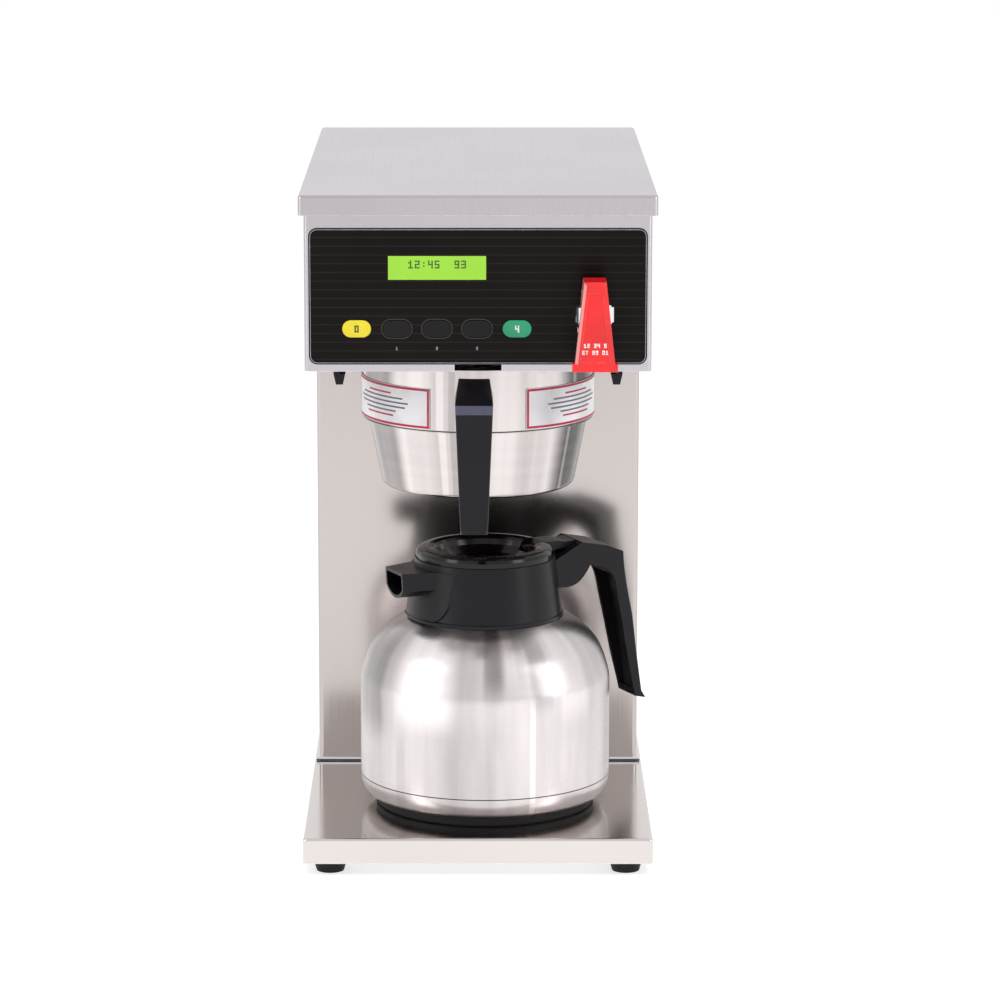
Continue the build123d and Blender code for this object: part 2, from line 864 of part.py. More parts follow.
with BuildPart() as faucet_handle:
    with BuildSketch(side_plane(faucet_x - handle_bottom_width)):
        with BuildLine():
            Polyline(
                (handle_front + crown_round, handle_top),
                (faucet_y, handle_top),
                (faucet_y + eye_back - 1, handle_top - crown_drop),
                (faucet_y + eye_back, pivot_z),
                (faucet_y + eye_back / 2, bonnet_top + 2 * eye_clearance),
                (faucet_y, bonnet_top + eye_clearance),
                (faucet_y - bonnet_radius - 1, bonnet_top),
                (handle_front + handle_depth, pivot_z - cheek_drop),
                (handle_front + handle_depth, handle_bottom),
                (handle_front, handle_bottom),
                (handle_front, handle_top - crown_round),
                close=True,
            )
        make_face()
    extrude(amount=2 * handle_bottom_width)
    with BuildSketch(front_plane(handle_front - 1)):
        handle_front_view(0, handle_bottom, handle_top)
        with Locations((faucet_x, handle_bottom + foot_band / 2)):
            Rectangle(foot_width, foot_band)
    extrude(amount=-2 * handle_reach, mode=Mode.INTERSECT)
    front_edges = faucet_handle.edges().filter_by(lambda edge: edge.center().Y < handle_front + 0.5)
    chamfer(front_edges.sort_by(Edge.length)[-2:], paddle_chamfer)
    with BuildSketch(front_plane(handle_front + paddle_wall)):
        handle_front_view(handle_wall, handle_bottom - 1, handle_top - handle_wall)
    extrude(amount=-handle_reach, mode=Mode.SUBTRACT)
    with BuildSketch(front_plane(handle_front + recess_depth)):
        handle_front_view(recess_rim, handle_bottom + foot_band + 1, handle_top - recess_top)
    extrude(amount=handle_depth, mode=Mode.SUBTRACT)
    with BuildSketch(side_plane(faucet_x - handle_bottom_width)):
        with Locations((faucet_y, pivot_z)):
            Circle(pivot_radius)
    extrude(amount=2 * handle_bottom_width, mode=Mode.SUBTRACT)

faucet_handle.part.label = "faucet_handle"
export_step(faucet_handle.part, "parts/faucet_handle.step")

pin_half = handle_top_width / 2 + (handle_top - pivot_z) * handle_slope
with BuildPart() as faucet_pin:
    with BuildSketch(side_plane(faucet_x - pin_half)):
        with Locations((faucet_y, pivot_z)):
            Circle(pivot_radius)
    extrude(amount=2 * pin_half)

faucet_pin.part.label = "faucet_pin"
export_step(faucet_pin.part, "parts/faucet_pin.step")

# Basket rails under the head floor
rail_stop = 4.0
rail_foot_draw = 1.5


def basket_rail(side):
    # A black moulding with a ledge for the basket's flange, drawn in towards its foot
    with BuildPart() as rail:
        with BuildSketch(front_plane(rail_end)):
            Polygon(
                (side * (rail_outer - rail_foot_draw), rail_bottom),
                (side * rail_outer, rail_ledge),
                (side * rail_outer, floor_z),
                (side * rail_web, floor_z),
                (side * rail_web, rail_ledge),
                (side * rail_inner, rail_ledge),
                (side * (rail_inner + rail_foot_draw), rail_bottom),
                align=None,
            )
        extrude(amount=rail_end - rail_start)
        web = sorted((side * rail_web, side * rail_outer))
        block(web, (rail_start, side_front_y), (head_bottom, floor_z), Mode.SUBTRACT)
        stop = sorted((side * rail_inner, side * rail_web))
        block(stop, (rail_end - rail_stop, rail_end), (rail_ledge, floor_z))
    return rail


left_rail = basket_rail(-1)
left_rail.part.label = "left_rail"
export_step(left_rail.part, "parts/left_rail.step")

right_rail = basket_rail(1)
right_rail.part.label = "right_rail"
export_step(right_rail.part, "parts/right_rail.step")

# Brew basket, turned in one piece: flange, straight ring, step and tapered bowl
bay_centre = (0.0, bay_y)
flange_top = flange_bottom + basket_wall
bowl_floor = bowl_bottom + basket_wall
inner_ring = ring_radius - basket_wall

with BuildPart() as basket_hollow:
    lathe(
        [
            (0, bowl_floor),
            (bowl_low_radius - basket_wall, bowl_floor),
            (bowl_top_radius - basket_wall, ring_bottom + basket_wall - ring_step),
            (inner_ring, ring_bottom + basket_wall),
            (inner_ring, flange_top),
            (0, flange_top),
        ],
        bay_centre,
    )
    low_rims = basket_hollow.edges().filter_by_position(Axis.Z, bowl_floor - seam, bowl_floor + seam)
    fillet(low_rims.sort_by(SortBy.RADIUS)[-1], bowl_corner - basket_wall)

with BuildPart() as brew_basket:
    lathe(
        [
            (0, outlet_bottom),
            (outlet_radius, outlet_bottom),
            (outlet_radius + 1, bowl_bottom),
            (bowl_low_radius, bowl_bottom),
            (bowl_top_radius, ring_bottom - ring_step),
            (ring_radius, ring_bottom),
            (ring_radius, flange_bottom),
            (flange_radius, flange_bottom),
            (flange_radius, flange_top),
            (0, flange_top),
        ],
        bay_centre,
    )
    bowl_rims = brew_basket.edges().filter_by_position(Axis.Z, bowl_bottom - seam, bowl_bottom + seam)
    fillet(bowl_rims.sort_by(SortBy.RADIUS)[-1], bowl_corner)
    add(basket_hollow.part, mode=Mode.SUBTRACT)
    with BuildSketch(Plane.XY.offset(outlet_bottom)):
        with Locations(bay_centre):
            Circle(outlet_bore)
    extrude(amount=bowl_floor - outlet_bottom, mode=Mode.SUBTRACT)
    with BuildSketch(front_plane(bay_y)):
        with Locations(*[(grip_x, z) for z in grip_screw_heights]):
            Circle(grip_screw_radius + pin_play)
    extrude(amount=ring_radius + 1, mode=Mode.SUBTRACT)

brew_basket.part.label = "brew_basket"
export_step(brew_basket.part, "parts/brew_basket.step")

insert_wire = 1.2
insert_ribs = 20
insert_top_gap = 6.0
insert_low_gap = 14.0
insert_rise = 4.0
insert_radius = bowl_top_radius - basket_wall - insert_top_gap
insert_low_radius = bowl_low_radius - insert_low_gap
insert_bottom = bowl_floor + touch_gap
insert_top = ring_bottom + insert_rise

with BuildPart() as wire_insert:
    # Two rings joined by upright ribs, which keep the paper filter off the bowl's wall
    for height, radius in ((insert_bottom, insert_low_radius), (insert_top, insert_radius)):
        lathe(
            [
                (radius - insert_wire, height),
                (radius + insert_wire, height),
                (radius + insert_wire, height + 2 * insert_wire),
                (radius - insert_wire, height + 2 * insert_wire),
            ],
            bay_centre,
        )
    for index in range(insert_ribs):
        angle = math.radians(360 / insert_ribs * (index + 0.5))
        across = (math.sin(angle), -math.cos(angle), 0)
        radial = Plane(origin=(0, bay_y, 0), x_dir=(math.cos(angle), math.sin(angle), 0), z_dir=across)
        with BuildSketch(radial):
            Polygon(
                (insert_low_radius, insert_bottom),
                (insert_low_radius + insert_wire, insert_bottom),
                (insert_radius + insert_wire, insert_top + insert_wire),
                (insert_radius, insert_top + 2 * insert_wire),
                align=None,
            )
        extrude(amount=insert_wire / 2, both=True)

wire_insert.part.label = "wire_insert"
export_step(wire_insert.part, "parts/wire_insert.step")

# Basket handle: an arm out of the ring and a long flat blade in front of the bowl
ring_front = bay_y - ring_radius
grip_front = ring_front - grip_reach
grip_back = grip_front + grip_depth
grip_root = 8.0
grip_shoulder = 12.0
grip_bevel = 6.0
grip_band = 5.5
grip_band_proud = 1.5
grip_toe = 3.0
grip_edge = 1.5

with BuildPart() as basket_handle:
    with BuildSketch(side_plane(grip_x - grip_width / 2)):
        Polygon(
            (ring_front + grip_root, grip_top),
            (ring_front, grip_top),
            (grip_front + grip_bevel, grip_top - grip_shoulder + grip_bevel / 2),
            (grip_front, grip_top - grip_shoulder),
            (grip_front - grip_band_proud, grip_top - grip_shoulder - grip_band),
            (grip_front - grip_band_proud, grip_bottom + grip_toe),
            (grip_front + grip_toe - grip_band_proud, grip_bottom),
            (grip_back - grip_toe, grip_bottom),
            (grip_back, grip_bottom + grip_toe),
            (grip_back, arm_bottom - grip_shoulder),
            (grip_back + grip_shoulder, arm_bottom),
            (ring_front + grip_root, arm_bottom),
            align=None,
        )
    extrude(amount=grip_width)
    with BuildSketch(front_plane(ring_front + grip_root)):
        Polygon(
            (grip_x - grip_root_width / 2, grip_top),
            (grip_x + grip_root_width / 2, grip_top),
            (grip_x + grip_width / 2, grip_top - grip_shoulder),
            (grip_x + grip_end_width / 2, grip_bottom),
            (grip_x - grip_end_width / 2, grip_bottom),
            (grip_x - grip_width / 2, grip_top - grip_shoulder),
            align=None,
        )
    extrude(amount=2 * grip_reach, mode=Mode.INTERSECT)
    with BuildSketch(Plane.XY.offset(grip_bottom)):
        with Locations(bay_centre):
            Circle(ring_radius + pin_play)
    extrude(amount=grip_top - grip_bottom, mode=Mode.SUBTRACT)
    blade_edges = basket_handle.edges().filter_by_position(Axis.Y, grip_front - grip_band_proud, grip_front)
    side_edges = blade_edges.filter_by(lambda edge: abs(edge.center().X - grip_x) > grip_end_width / 2)
    fillet(side_edges, grip_edge)
    with BuildSketch(front_plane(bay_y)):
        with Locations(*[(grip_x, z) for z in grip_screw_heights]):
            Circle(grip_screw_radius)
    extrude(amount=ring_radius + grip_screw_length, mode=Mode.SUBTRACT)

basket_handle.part.label = "basket_handle"
export_step(basket_handle.part, "parts/basket_handle.step")

screw_head_radius = 2 * grip_screw_radius
screw_head_depth = 2.0
screw_seat = bay_y - math.sqrt(inner_ring**2 - (abs(grip_x) + screw_head_radius) ** 2)
with BuildPart() as grip_screws:
    for z in grip_screw_heights:
        with BuildSketch(front_plane(screw_seat)):
            with Locations((grip_x, z)):
                Circle(grip_screw_radius)
        extrude(amount=grip_screw_length)
        with BuildSketch(front_plane(screw_seat)):
            with Locations((grip_x, z)):
                Circle(screw_head_radius)
        extrude(amount=-screw_head_depth)

grip_screws.part.label = "grip_screws"
export_step(grip_screws.part, "parts/grip_screws.step")

# Two thin plates wrapped on the basket's ring, one on each side of the handle
plate_start = 24.0
plate_span = 66.0
plate_rise = 1.9
plate_height = 26.5
plate_thickness = 0.8
plate_middle = ring_bottom + plate_rise + plate_height / 2
with BuildPart() as ring_plates:
    for side in (-1, 1):
        start = math.radians(-90 + side * plate_start)
        outward = (math.cos(start), math.sin(start), 0)
        face = Plane(origin=(0, bay_y, 0), x_dir=outward, z_dir=(math.sin(start), -math.cos(start), 0))
        with BuildSketch(face):
            with Locations((ring_radius + pin_play + plate_thickness / 2, plate_middle)):
                Rectangle(plate_thickness, plate_height)
        revolve(axis=Axis((0, bay_y, 0), (0, 0, side)), revolution_arc=plate_span)

ring_plates.part.label = "ring_plates"
export_step(ring_plates.part, "parts/ring_plates.step")

# Water tank in the column, with what stands on its lid
tank_size = (180.0, 150.0, 240.0)
tank_gap = 4.0
tank_stand = 34.0
tank_y = column_y + column_return + tank_gap + tank_size[1] / 2
tank_bottom = base_top + tank_stand
tank_top = tank_bottom + tank_size[2]
tank_wall = 1.5
tank_corner = 20.0
tank_rim = 8.0
rim_size = (tank_size[0] + 2 * tank_rim, tank_size[1] + 2 * tank_rim)
tank_hollow = (tank_size[0] - 2 * tank_wall, tank_size[1] - 2 * tank_wall)
gasket_thickness = 2.0
tank_lid_thickness = 2.0
tank_centre = (0.0, tank_y)
tank_lid_bottom = tank_top + gasket_thickness
tank_lid_top = tank_lid_bottom + tank_lid_thickness

with BuildPart() as tank:
    with BuildSketch(Plane.XY.offset(tank_bottom)):
        with Locations(tank_centre):
            RectangleRounded(tank_size[0], tank_size[1], tank_corner)
    extrude(amount=tank_size[2])
    with BuildSketch(Plane.XY.offset(tank_top - tank_wall)):
        with Locations(tank_centre):
            RectangleRounded(*rim_size, tank_corner)
    extrude(amount=tank_wall)
    with BuildSketch(Plane.XY.offset(tank_bottom + tank_wall)):
        with Locations(tank_centre):
            RectangleRounded(*tank_hollow, tank_corner - tank_wall)
    extrude(amount=tank_size[2], mode=Mode.SUBTRACT)

tank.part.label = "tank"
export_step(tank.part, "parts/tank.step")

cradle_inset = (15.0, 20.0)
cradle_half = (tank_size[0] / 2 - cradle_inset[0], tank_size[1] / 2 - cradle_inset[1])
cradle_wall = 2.4
with BuildPart() as tank_cradle:
    block(
        (-cradle_half[0], cradle_half[0]),
        (tank_y - cradle_half[1], tank_y + cradle_half[1]),
        (base_top, tank_bottom),
    )
    block(
        (-cradle_half[0] + cradle_wall, cradle_half[0] - cradle_wall),
        (tank_y - cradle_half[1] - 1, tank_y + cradle_half[1] + 1),
        (base_top, tank_bottom - cradle_wall),
        Mode.SUBTRACT,
    )

tank_cradle.part.label = "tank_cradle"
export_step(tank_cradle.part, "parts/tank_cradle.step")

with BuildPart() as tank_gasket:
    with BuildSketch(Plane.XY.offset(tank_top)):
        with Locations(tank_centre):
            RectangleRounded(*rim_size, tank_corner)
            RectangleRounded(tank_size[0], tank_size[1], tank_corner, mode=Mode.SUBTRACT)
    extrude(amount=gasket_thickness)

tank_gasket.part.label = "tank_gasket"
export_step(tank_gasket.part, "parts/tank_gasket.step")

heater_x = -45.0
heater_bore = 14.0
probe_x = 20.0
probe_pitch = 26.0
probe_radius = 2.5
valve_x = 0.0
valve_offset = 42.0
valve_y = tank_y - valve_offset
tube_radius = 5.0
tube_bore = 3.5

with BuildPart() as tank_lid:
    with BuildSketch(Plane.XY.offset(tank_lid_bottom)):
        with Locations(tank_centre):
            RectangleRounded(*rim_size, tank_corner)
        with Locations((heater_x, tank_y)):
            Circle(heater_bore, mode=Mode.SUBTRACT)
        with Locations((probe_x, tank_y), (probe_x + probe_pitch, tank_y)):
            Circle(probe_radius + pin_play, mode=Mode.SUBTRACT)
        with Locations((valve_x, valve_y)):
            Circle(tube_bore, mode=Mode.SUBTRACT)
    extrude(amount=tank_lid_thickness)

tank_lid.part.label = "tank_lid"
export_step(tank_lid.part, "parts/tank_lid.step")

heater_half = 9.0
heater_rod = 3.5
heater_hex = 21.0
heater_hex_height = 8.0
heater_stub = 4.0
heater_terminal_radius = 2.0
heater_terminal_height = 10.0
heater_low = tank_bottom + 25
heater_centre = (heater_x, tank_y)
with BuildPart() as heating_element:
    with BuildSketch(Plane.XY.offset(tank_lid_top)):
        with Locations(heater_centre):
            RegularPolygon(heater_hex, 6)
    extrude(amount=heater_hex_height)
    with BuildSketch(Plane.XY.offset(tank_lid_bottom - heater_stub)):
        with Locations(heater_centre):
            Circle(heater_bore - pin_play)
    extrude(amount=tank_lid_thickness + heater_stub)
    with BuildSketch(Plane.XY.offset(tank_lid_bottom - heater_stub)):
        with Locations(heater_centre):
            with GridLocations(2 * heater_half, 0, 2, 1):
                Circle(heater_rod)
    extrude(amount=heater_low - tank_lid_bottom + heater_stub)
    with BuildSketch(Plane.XY.offset(heater_low)):
        with Locations((heater_x + heater_half, tank_y)):
            Circle(heater_rod)
    revolve(axis=Axis((heater_x, tank_y, heater_low), (0, -1, 0)), revolution_arc=-180)
    with BuildSketch(Plane.XY.offset(tank_lid_top + heater_hex_height)):
        with Locations(heater_centre):
            with GridLocations(2 * heater_half, 0, 2, 1):
                Circle(heater_terminal_radius)
    extrude(amount=heater_terminal_height)

heating_element.part.label = "heating_element"
export_step(heating_element.part, "parts/heating_element.step")

probe_hex = 8.0
probe_hex_height = 8.0
probe_rise = 14.0
short_probe_drop = 30.0
long_probe_clearance = 90.0
probe_lows = (
    (probe_x, tank_top - short_probe_drop),
    (probe_x + probe_pitch, tank_bottom + long_probe_clearance),
)
with BuildPart() as tank_probes:
    for x, low in probe_lows:
        with BuildSketch(Plane.XY.offset(low)):
            with Locations((x, tank_y)):
                Circle(probe_radius)
        extrude(amount=tank_lid_top + probe_rise - low)
        with BuildSketch(Plane.XY.offset(tank_lid_top)):
            with Locations((x, tank_y)):
                RegularPolygon(probe_hex, 6)
        extrude(amount=probe_hex_height)

tank_probes.part.label = "tank_probes"
export_step(tank_probes.part, "parts/tank_probes.step")

# Dispense valve on the tank lid, the tube to the spray head, and the spray head over the basket
valve_body = 11.0
valve_height = 22.0
coil_radius = 15.0
coil_length = 30.0
coil_sink = 2.0
tube_rise = 28.0
tube_z = floor_top + tube_rise
spray_bend = 14.0
spray_stub = 6.0
spray_top = floor_top + spray_stub
with BuildPart() as dispense_valve:
    with BuildSketch(Plane.XY.offset(tank_lid_top)):
        with Locations((valve_x, valve_y)):
            RegularPolygon(valve_body, 6)
            Circle(tube_bore, mode=Mode.SUBTRACT)
    extrude(amount=valve_height)
    with BuildSketch(side_plane(valve_x + valve_body - coil_sink)):
        with Locations((valve_y, tank_lid_top + coil_radius + 1)):
            Circle(coil_radius)
    extrude(amount=coil_length)

dispense_valve.part.label = "dispense_valve"
export_step(dispense_valve.part, "parts/dispense_valve.step")

with BuildPart() as spray_tube:
    with BuildLine() as route:
        FilletPolyline(
            (valve_x, valve_y, tank_lid_top + valve_height),
            (valve_x, valve_y, tube_z),
            (valve_x, bay_y, tube_z),
            (valve_x, bay_y, spray_top),
            radius=spray_bend,
        )
    with BuildSketch(Plane(origin=route.line @ 0, z_dir=route.line % 0)):
        Circle(tube_radius)
        Circle(tube_bore, mode=Mode.SUBTRACT)
    sweep(path=route.line)

spray_tube.part.label = "spray_tube"
export_step(spray_tube.part, "parts/spray_tube.step")

# The faucet's tube steps sideways past the transformer, then drops onto the tank lid
detour_side_gap = 8.15
detour_x = inner_half - tube_radius - detour_side_gap
detour_lead = 18.0
detour_run = 27.0
detour_end = 66.0
drop_offset = 40.0
faucet_bend = 11.0
with BuildPart() as faucet_tube:
    with BuildLine() as route:
        FilletPolyline(
            (faucet_x, shank_end, shank_z),
            (faucet_x, shank_end + detour_lead, shank_z),
            (detour_x, shank_end + detour_lead + detour_run, shank_z),
            (detour_x, tank_y - detour_end, shank_z),
            (faucet_x, tank_y - drop_offset, shank_z),
            (faucet_x, tank_y - drop_offset, tank_lid_top),
            radius=faucet_bend,
        )
    with BuildSketch(Plane(origin=route.line @ 0, z_dir=route.line % 0)):
        Circle(tube_radius)
        Circle(tube_bore, mode=Mode.SUBTRACT)
    sweep(path=route.line)

faucet_tube.part.label = "faucet_tube"
export_step(faucet_tube.part, "parts/faucet_tube.step")

spray_radius = 34.0
spray_wall = 1.5
spray_rim = 3.0
spray_lift = 0.8
spray_shoulder = 20.0
spray_hole = 1.5
spray_rings = ((10.0, 6), (20.0, 10), (28.0, 14))
spray_bottom = head_bottom + spray_lift
stub_radius = spray_hole_radius - pin_play
with BuildPart() as spray_head:
    lathe(
        [
            (0, spray_bottom),
            (spray_radius, spray_bottom),
            (spray_radius, spray_bottom + spray_rim),
            (spray_shoulder, floor_z - touch_gap),
            (stub_radius, floor_z - touch_gap),
            (stub_radius, spray_top),
            (tube_bore, spray_top),
            (tube_bore, floor_z - spray_wall),
            (spray_shoulder - spray_wall, floor_z - spray_wall),
            (spray_radius - spray_wall, spray_bottom + spray_wall),
            (0, spray_bottom + spray_wall),
        ],
        bay_centre,
    )
    with BuildSketch(Plane.XY.offset(spray_bottom)):
        with Locations(bay_centre):
            Circle(spray_hole)
            for ring, holes in spray_rings:
                with PolarLocations(ring, holes):
                    Circle(spray_hole)
    extrude(amount=spray_wall, mode=Mode.SUBTRACT)

spray_head.part.label = "spray_head"
export_step(spray_head.part, "parts/spray_head.step")

# Water inlet through the rear cover, its valve, and the gland for the mains lead
fitting_radius = 10.5
fitting_step = 6.0
fitting_hex = inlet_hole_radius + 4.0
fitting_bore = 4.5
inlet_stub = 14.0
inlet_stub_radius = 7.0
solenoid_y = back_y - sheet - inlet_stub
fitting_end = rear_y + fitting_reach
with BuildPart() as inlet_fitting:
    with BuildSketch(front_plane(solenoid_y)):
        with Locations((inlet_x, inlet_z)):
            Circle(inlet_stub_radius)
    extrude(amount=solenoid_y - back_y - 1)
    with BuildSketch(front_plane(back_y)):
        with Locations((inlet_x, inlet_z)):
            RegularPolygon(fitting_hex, 6)
    extrude(amount=-fitting_step)
    with BuildSketch(front_plane(back_y - sheet)):
        with Locations((inlet_x, inlet_z)):
            Circle(inlet_hole_radius - pin_play)
    extrude(amount=-sheet)
    with BuildSketch(front_plane(back_y + fitting_step)):
        with Locations((inlet_x, inlet_z)):
            Circle(fitting_radius)
    extrude(amount=back_y + fitting_step - fitting_end)
    with BuildSketch(front_plane(fitting_end)):
        with Locations((inlet_x, inlet_z)):
            Circle(fitting_bore)
    extrude(amount=fitting_end - solenoid_y, mode=Mode.SUBTRACT)

inlet_fitting.part.label = "inlet_fitting"
export_step(inlet_fitting.part, "parts/inlet_fitting.step")

solenoid_half = 11.0
solenoid_length = 26.0
solenoid_middle = solenoid_y - solenoid_length / 2
solenoid_coil_radius = 12.0
solenoid_coil_height = 28.0
bracket_half = 6.0
bracket_foot_half = 14.0
bracket_thickness = 2.0
bracket_y = (solenoid_y - 22, solenoid_y - 4)
inlet_pipe_start = solenoid_y - 20
with BuildPart() as inlet_valve:
    block(
        (inlet_x - solenoid_half, inlet_x + solenoid_half),
        (solenoid_y - solenoid_length, solenoid_y),
        (inlet_z - solenoid_half, inlet_z + solenoid_half),
    )
    with BuildSketch(Plane.XY.offset(inlet_z + solenoid_half)):
        with Locations((inlet_x, solenoid_middle)):
            Circle(solenoid_coil_radius)
    extrude(amount=solenoid_coil_height)
    block(
        (inlet_x - bracket_foot_half, inlet_x + bracket_foot_half),
        bracket_y,
        (base_top, base_top + bracket_thickness),
    )
    block((inlet_x - bracket_half, inlet_x + bracket_half), bracket_y, (base_top, inlet_z))
    with BuildSketch(front_plane(inlet_pipe_start)):
        with Locations((inlet_x, inlet_z)):
            Circle(tube_radius)
    extrude(amount=inlet_pipe_start - tank_y - tank_size[1] / 2)

inlet_valve.part.label = "inlet_valve"
export_step(inlet_valve.part, "parts/inlet_valve.step")

gland_bore = 4.5
gland_hex = gland_hole_radius + 4.0
gland_hex_depth = 5.0
gland_cap_radius = gland_hole_radius + 1.0
gland_cap_depth = 7.0
gland_draft = 15.0
gland_stub = 8.0
gland_end = back_y - sheet - gland_stub
gland_front = back_y + gland_hex_depth + gland_cap_depth
with BuildPart() as cord_gland:
    with BuildSketch(front_plane(back_y)):
        with Locations((gland_x, gland_z)):
            RegularPolygon(gland_hex, 6)
    extrude(amount=-gland_hex_depth)
    with BuildSketch(front_plane(back_y + gland_hex_depth)):
        with Locations((gland_x, gland_z)):
            Circle(gland_cap_radius)
    extrude(amount=-gland_cap_depth, taper=gland_draft)
    with BuildSketch(front_plane(gland_end)):
        with Locations((gland_x, gland_z)):
            Circle(gland_hole_radius - pin_play)
    extrude(amount=gland_end - back_y)
    with BuildSketch(front_plane(gland_front)):
        with Locations((gland_x, gland_z)):
            Circle(gland_bore)
    extrude(amount=gland_front - gland_end, mode=Mode.SUBTRACT)

cord_gland.part.label = "cord_gland"
export_step(cord_gland.part, "parts/cord_gland.step")

# Vacuum carafe. Its handle points to the right and a little back, its spout the other way.
carafe_centre = (carafe_x, bay_y)
turn = math.radians(carafe_turn)
handle_way = (math.cos(turn), math.sin(turn), 0)
handle_cross = (math.sin(turn), -math.cos(turn), 0)
spout_way = (-math.cos(turn), -math.sin(turn), 0)
carafe_plane = Plane(origin=(carafe_x, bay_y, 0), x_dir=handle_way, z_dir=handle_cross)
across_plane = Plane(origin=(carafe_x, bay_y, 0), x_dir=handle_cross, z_dir=spout_way)
carafe_axis = Axis((carafe_x, bay_y, 0), (0, 0, 1))
shell_bottom = carafe_bottom + foot_ring_height
shell_neck = 44.0
neck_rise_height = 11.0
neck_step = 3.0
neck_top_z = neck_z + neck_rise_height
neck_base_z = neck_z + neck_step
foot_ring_depth = 10.0
foot_ring_web = 2.0

with BuildPart() as carafe_foot:
    lathe(
        [
            (foot_ring_radius - foot_ring_depth, carafe_bottom),
            (foot_ring_radius - 1, carafe_bottom),
            (foot_ring_radius, carafe_bottom + 1),
            (foot_ring_radius, shell_bottom),
            (0, shell_bottom),
            (0, shell_bottom - foot_ring_web),
            (foot_ring_radius - foot_ring_depth - foot_ring_web, shell_bottom - foot_ring_web),
        ],
        carafe_centre,
    )

carafe_foot.part.label = "carafe_foot"
export_step(carafe_foot.part, "parts/carafe_foot.step")


def vessel(low, inset, neck, top, mode=Mode.ADD):
    # The carafe's turned form, drawn in by an inset and standing on a given height
    wide = carafe_radius - inset
    crown = -inset * 0.6
    with BuildSketch(carafe_plane) as half:
        with BuildLine():
            Line((0, low), (foot_ring_radius + 1 - inset, low))
            Spline(
                (foot_ring_radius + 1 - inset, low),
                (wide - 1.2, low + 7),
                (wide, seam_z),
                tangents=((1, 0.2), (0, 1)),
            )
            Line((wide, seam_z), (wide, shoulder_z))
            Spline(
                (wide, shoulder_z),
                (wide - 2.0, shoulder_z + 10.7 + crown / 2),
                (wide - 7.2, shoulder_z + 23.8 + crown / 2),
                (wide - 17.5, shoulder_z + 35.6 + crown),
                (neck_radius - inset, neck_z + crown),
                tangents=((0, 1), (-1, 0.4)),
            )
            Line((neck_radius - inset, neck_z + crown), (neck, neck_base_z + crown))
            Line((neck, neck_base_z + crown), (neck, top))
            Line((neck, top), (0, top))
            Line((0, top), (0, low))
        make_face()
    revolve(half.sketch, axis=carafe_axis, mode=mode)


liner_inset = carafe_wall + vacuum_gap
liner_neck = shell_neck - carafe_wall - touch_gap
with BuildPart() as carafe_shell:
    vessel(shell_bottom, 0, shell_neck, neck_top_z)
    vessel(shell_bottom + carafe_wall, carafe_wall, shell_neck - carafe_wall, neck_top_z + 1, Mode.SUBTRACT)

carafe_shell.part.label = "carafe_shell"
export_step(carafe_shell.part, "parts/carafe_shell.step")

with BuildPart() as carafe_liner:
    vessel(shell_bottom + liner_inset, liner_inset, liner_neck, neck_top_z)
    with BuildSketch(Plane.XY.offset(neck_top_z)):
        with Locations(carafe_centre):
            Circle(shell_neck)
    extrude(amount=carafe_wall)
    vessel(
        shell_bottom + liner_inset + carafe_wall,
        liner_inset + carafe_wall,
        liner_neck - carafe_wall,
        neck_top_z + 2,
        Mode.SUBTRACT,
    )

carafe_liner.part.label = "carafe_liner"
export_step(carafe_liner.part, "parts/carafe_liner.step")

# Collar with the spout: a moulding over the neck, with a tongue-shaped pad behind the spout
collar_bore = 41.2
collar_seat = neck_top_z + carafe_wall + touch_gap
collar_foot = neck_z + seam
collar_skirt = 3.0
collar_inset = 0.2
collar_outline = [
    (neck_radius - collar_inset, collar_foot),
    (neck_radius - collar_inset, collar_foot + collar_skirt - 1),
    (collar_low_radius - collar_inset, collar_foot + collar_skirt),
    (collar_top_radius, collar_top),
]
spout_reach = 66.6
spout_half = 13.5
spout_root = 40.0
spout_root_half = 22.5
spout_drop = 4.1
spout_side = 11.5
spout_belly = 7.0
spout_wall = 2.0
spout_rake = 1.0
spout_high = collar_top - spout_drop
spout_middle = spout_high - spout_side
spout_low = spout_middle - spout_belly
pad_half = 31.0
pad_side = 15.0
pad_length = 33.5
pad_proud = 1.5

with BuildPart() as spout_pad:
    with BuildSketch(across_plane):
        with BuildLine():
            Polyline(
                (-pad_half, spout_high - pad_side),
                (-pad_half, spout_high),
                (pad_half, spout_high),
                (pad_half, spout_high - pad_side),
            )
            Spline(
                (pad_half, spout_high - pad_side),
                (0, spout_high - pad_length),
                (-pad_half, spout_high - pad_side),
                tangents=((0, -1), (0, 1)),
            )
        make_face()
    extrude(amount=carafe_radius)
    lathe(
        [(0, collar_foot)]
        + [(radius + pad_proud, height) for radius, height in collar_outline]
        + [(0, collar_top)],
        carafe_centre,
        Mode.INTERSECT,
    )

with BuildPart() as spout_hollow:
    for reach, half in ((spout_reach + 1, spout_half), (spout_root - spout_wall, spout_root_half)):
        with BuildSketch(across_plane.offset(reach)):
            with BuildLine():
                Polyline(
                    (-half + spout_wall, spout_middle),
                    (-half + spout_wall, spout_high - spout_wall),
                    (half - spout_wall, spout_high - spout_wall),
                    (half - spout_wall, spout_middle),
                )
                ThreePointArc(
                    (half - spout_wall, spout_middle),
                    (0, spout_low + spout_wall),
                    (-half + spout_wall, spout_middle),
                )
            make_face()
    loft()

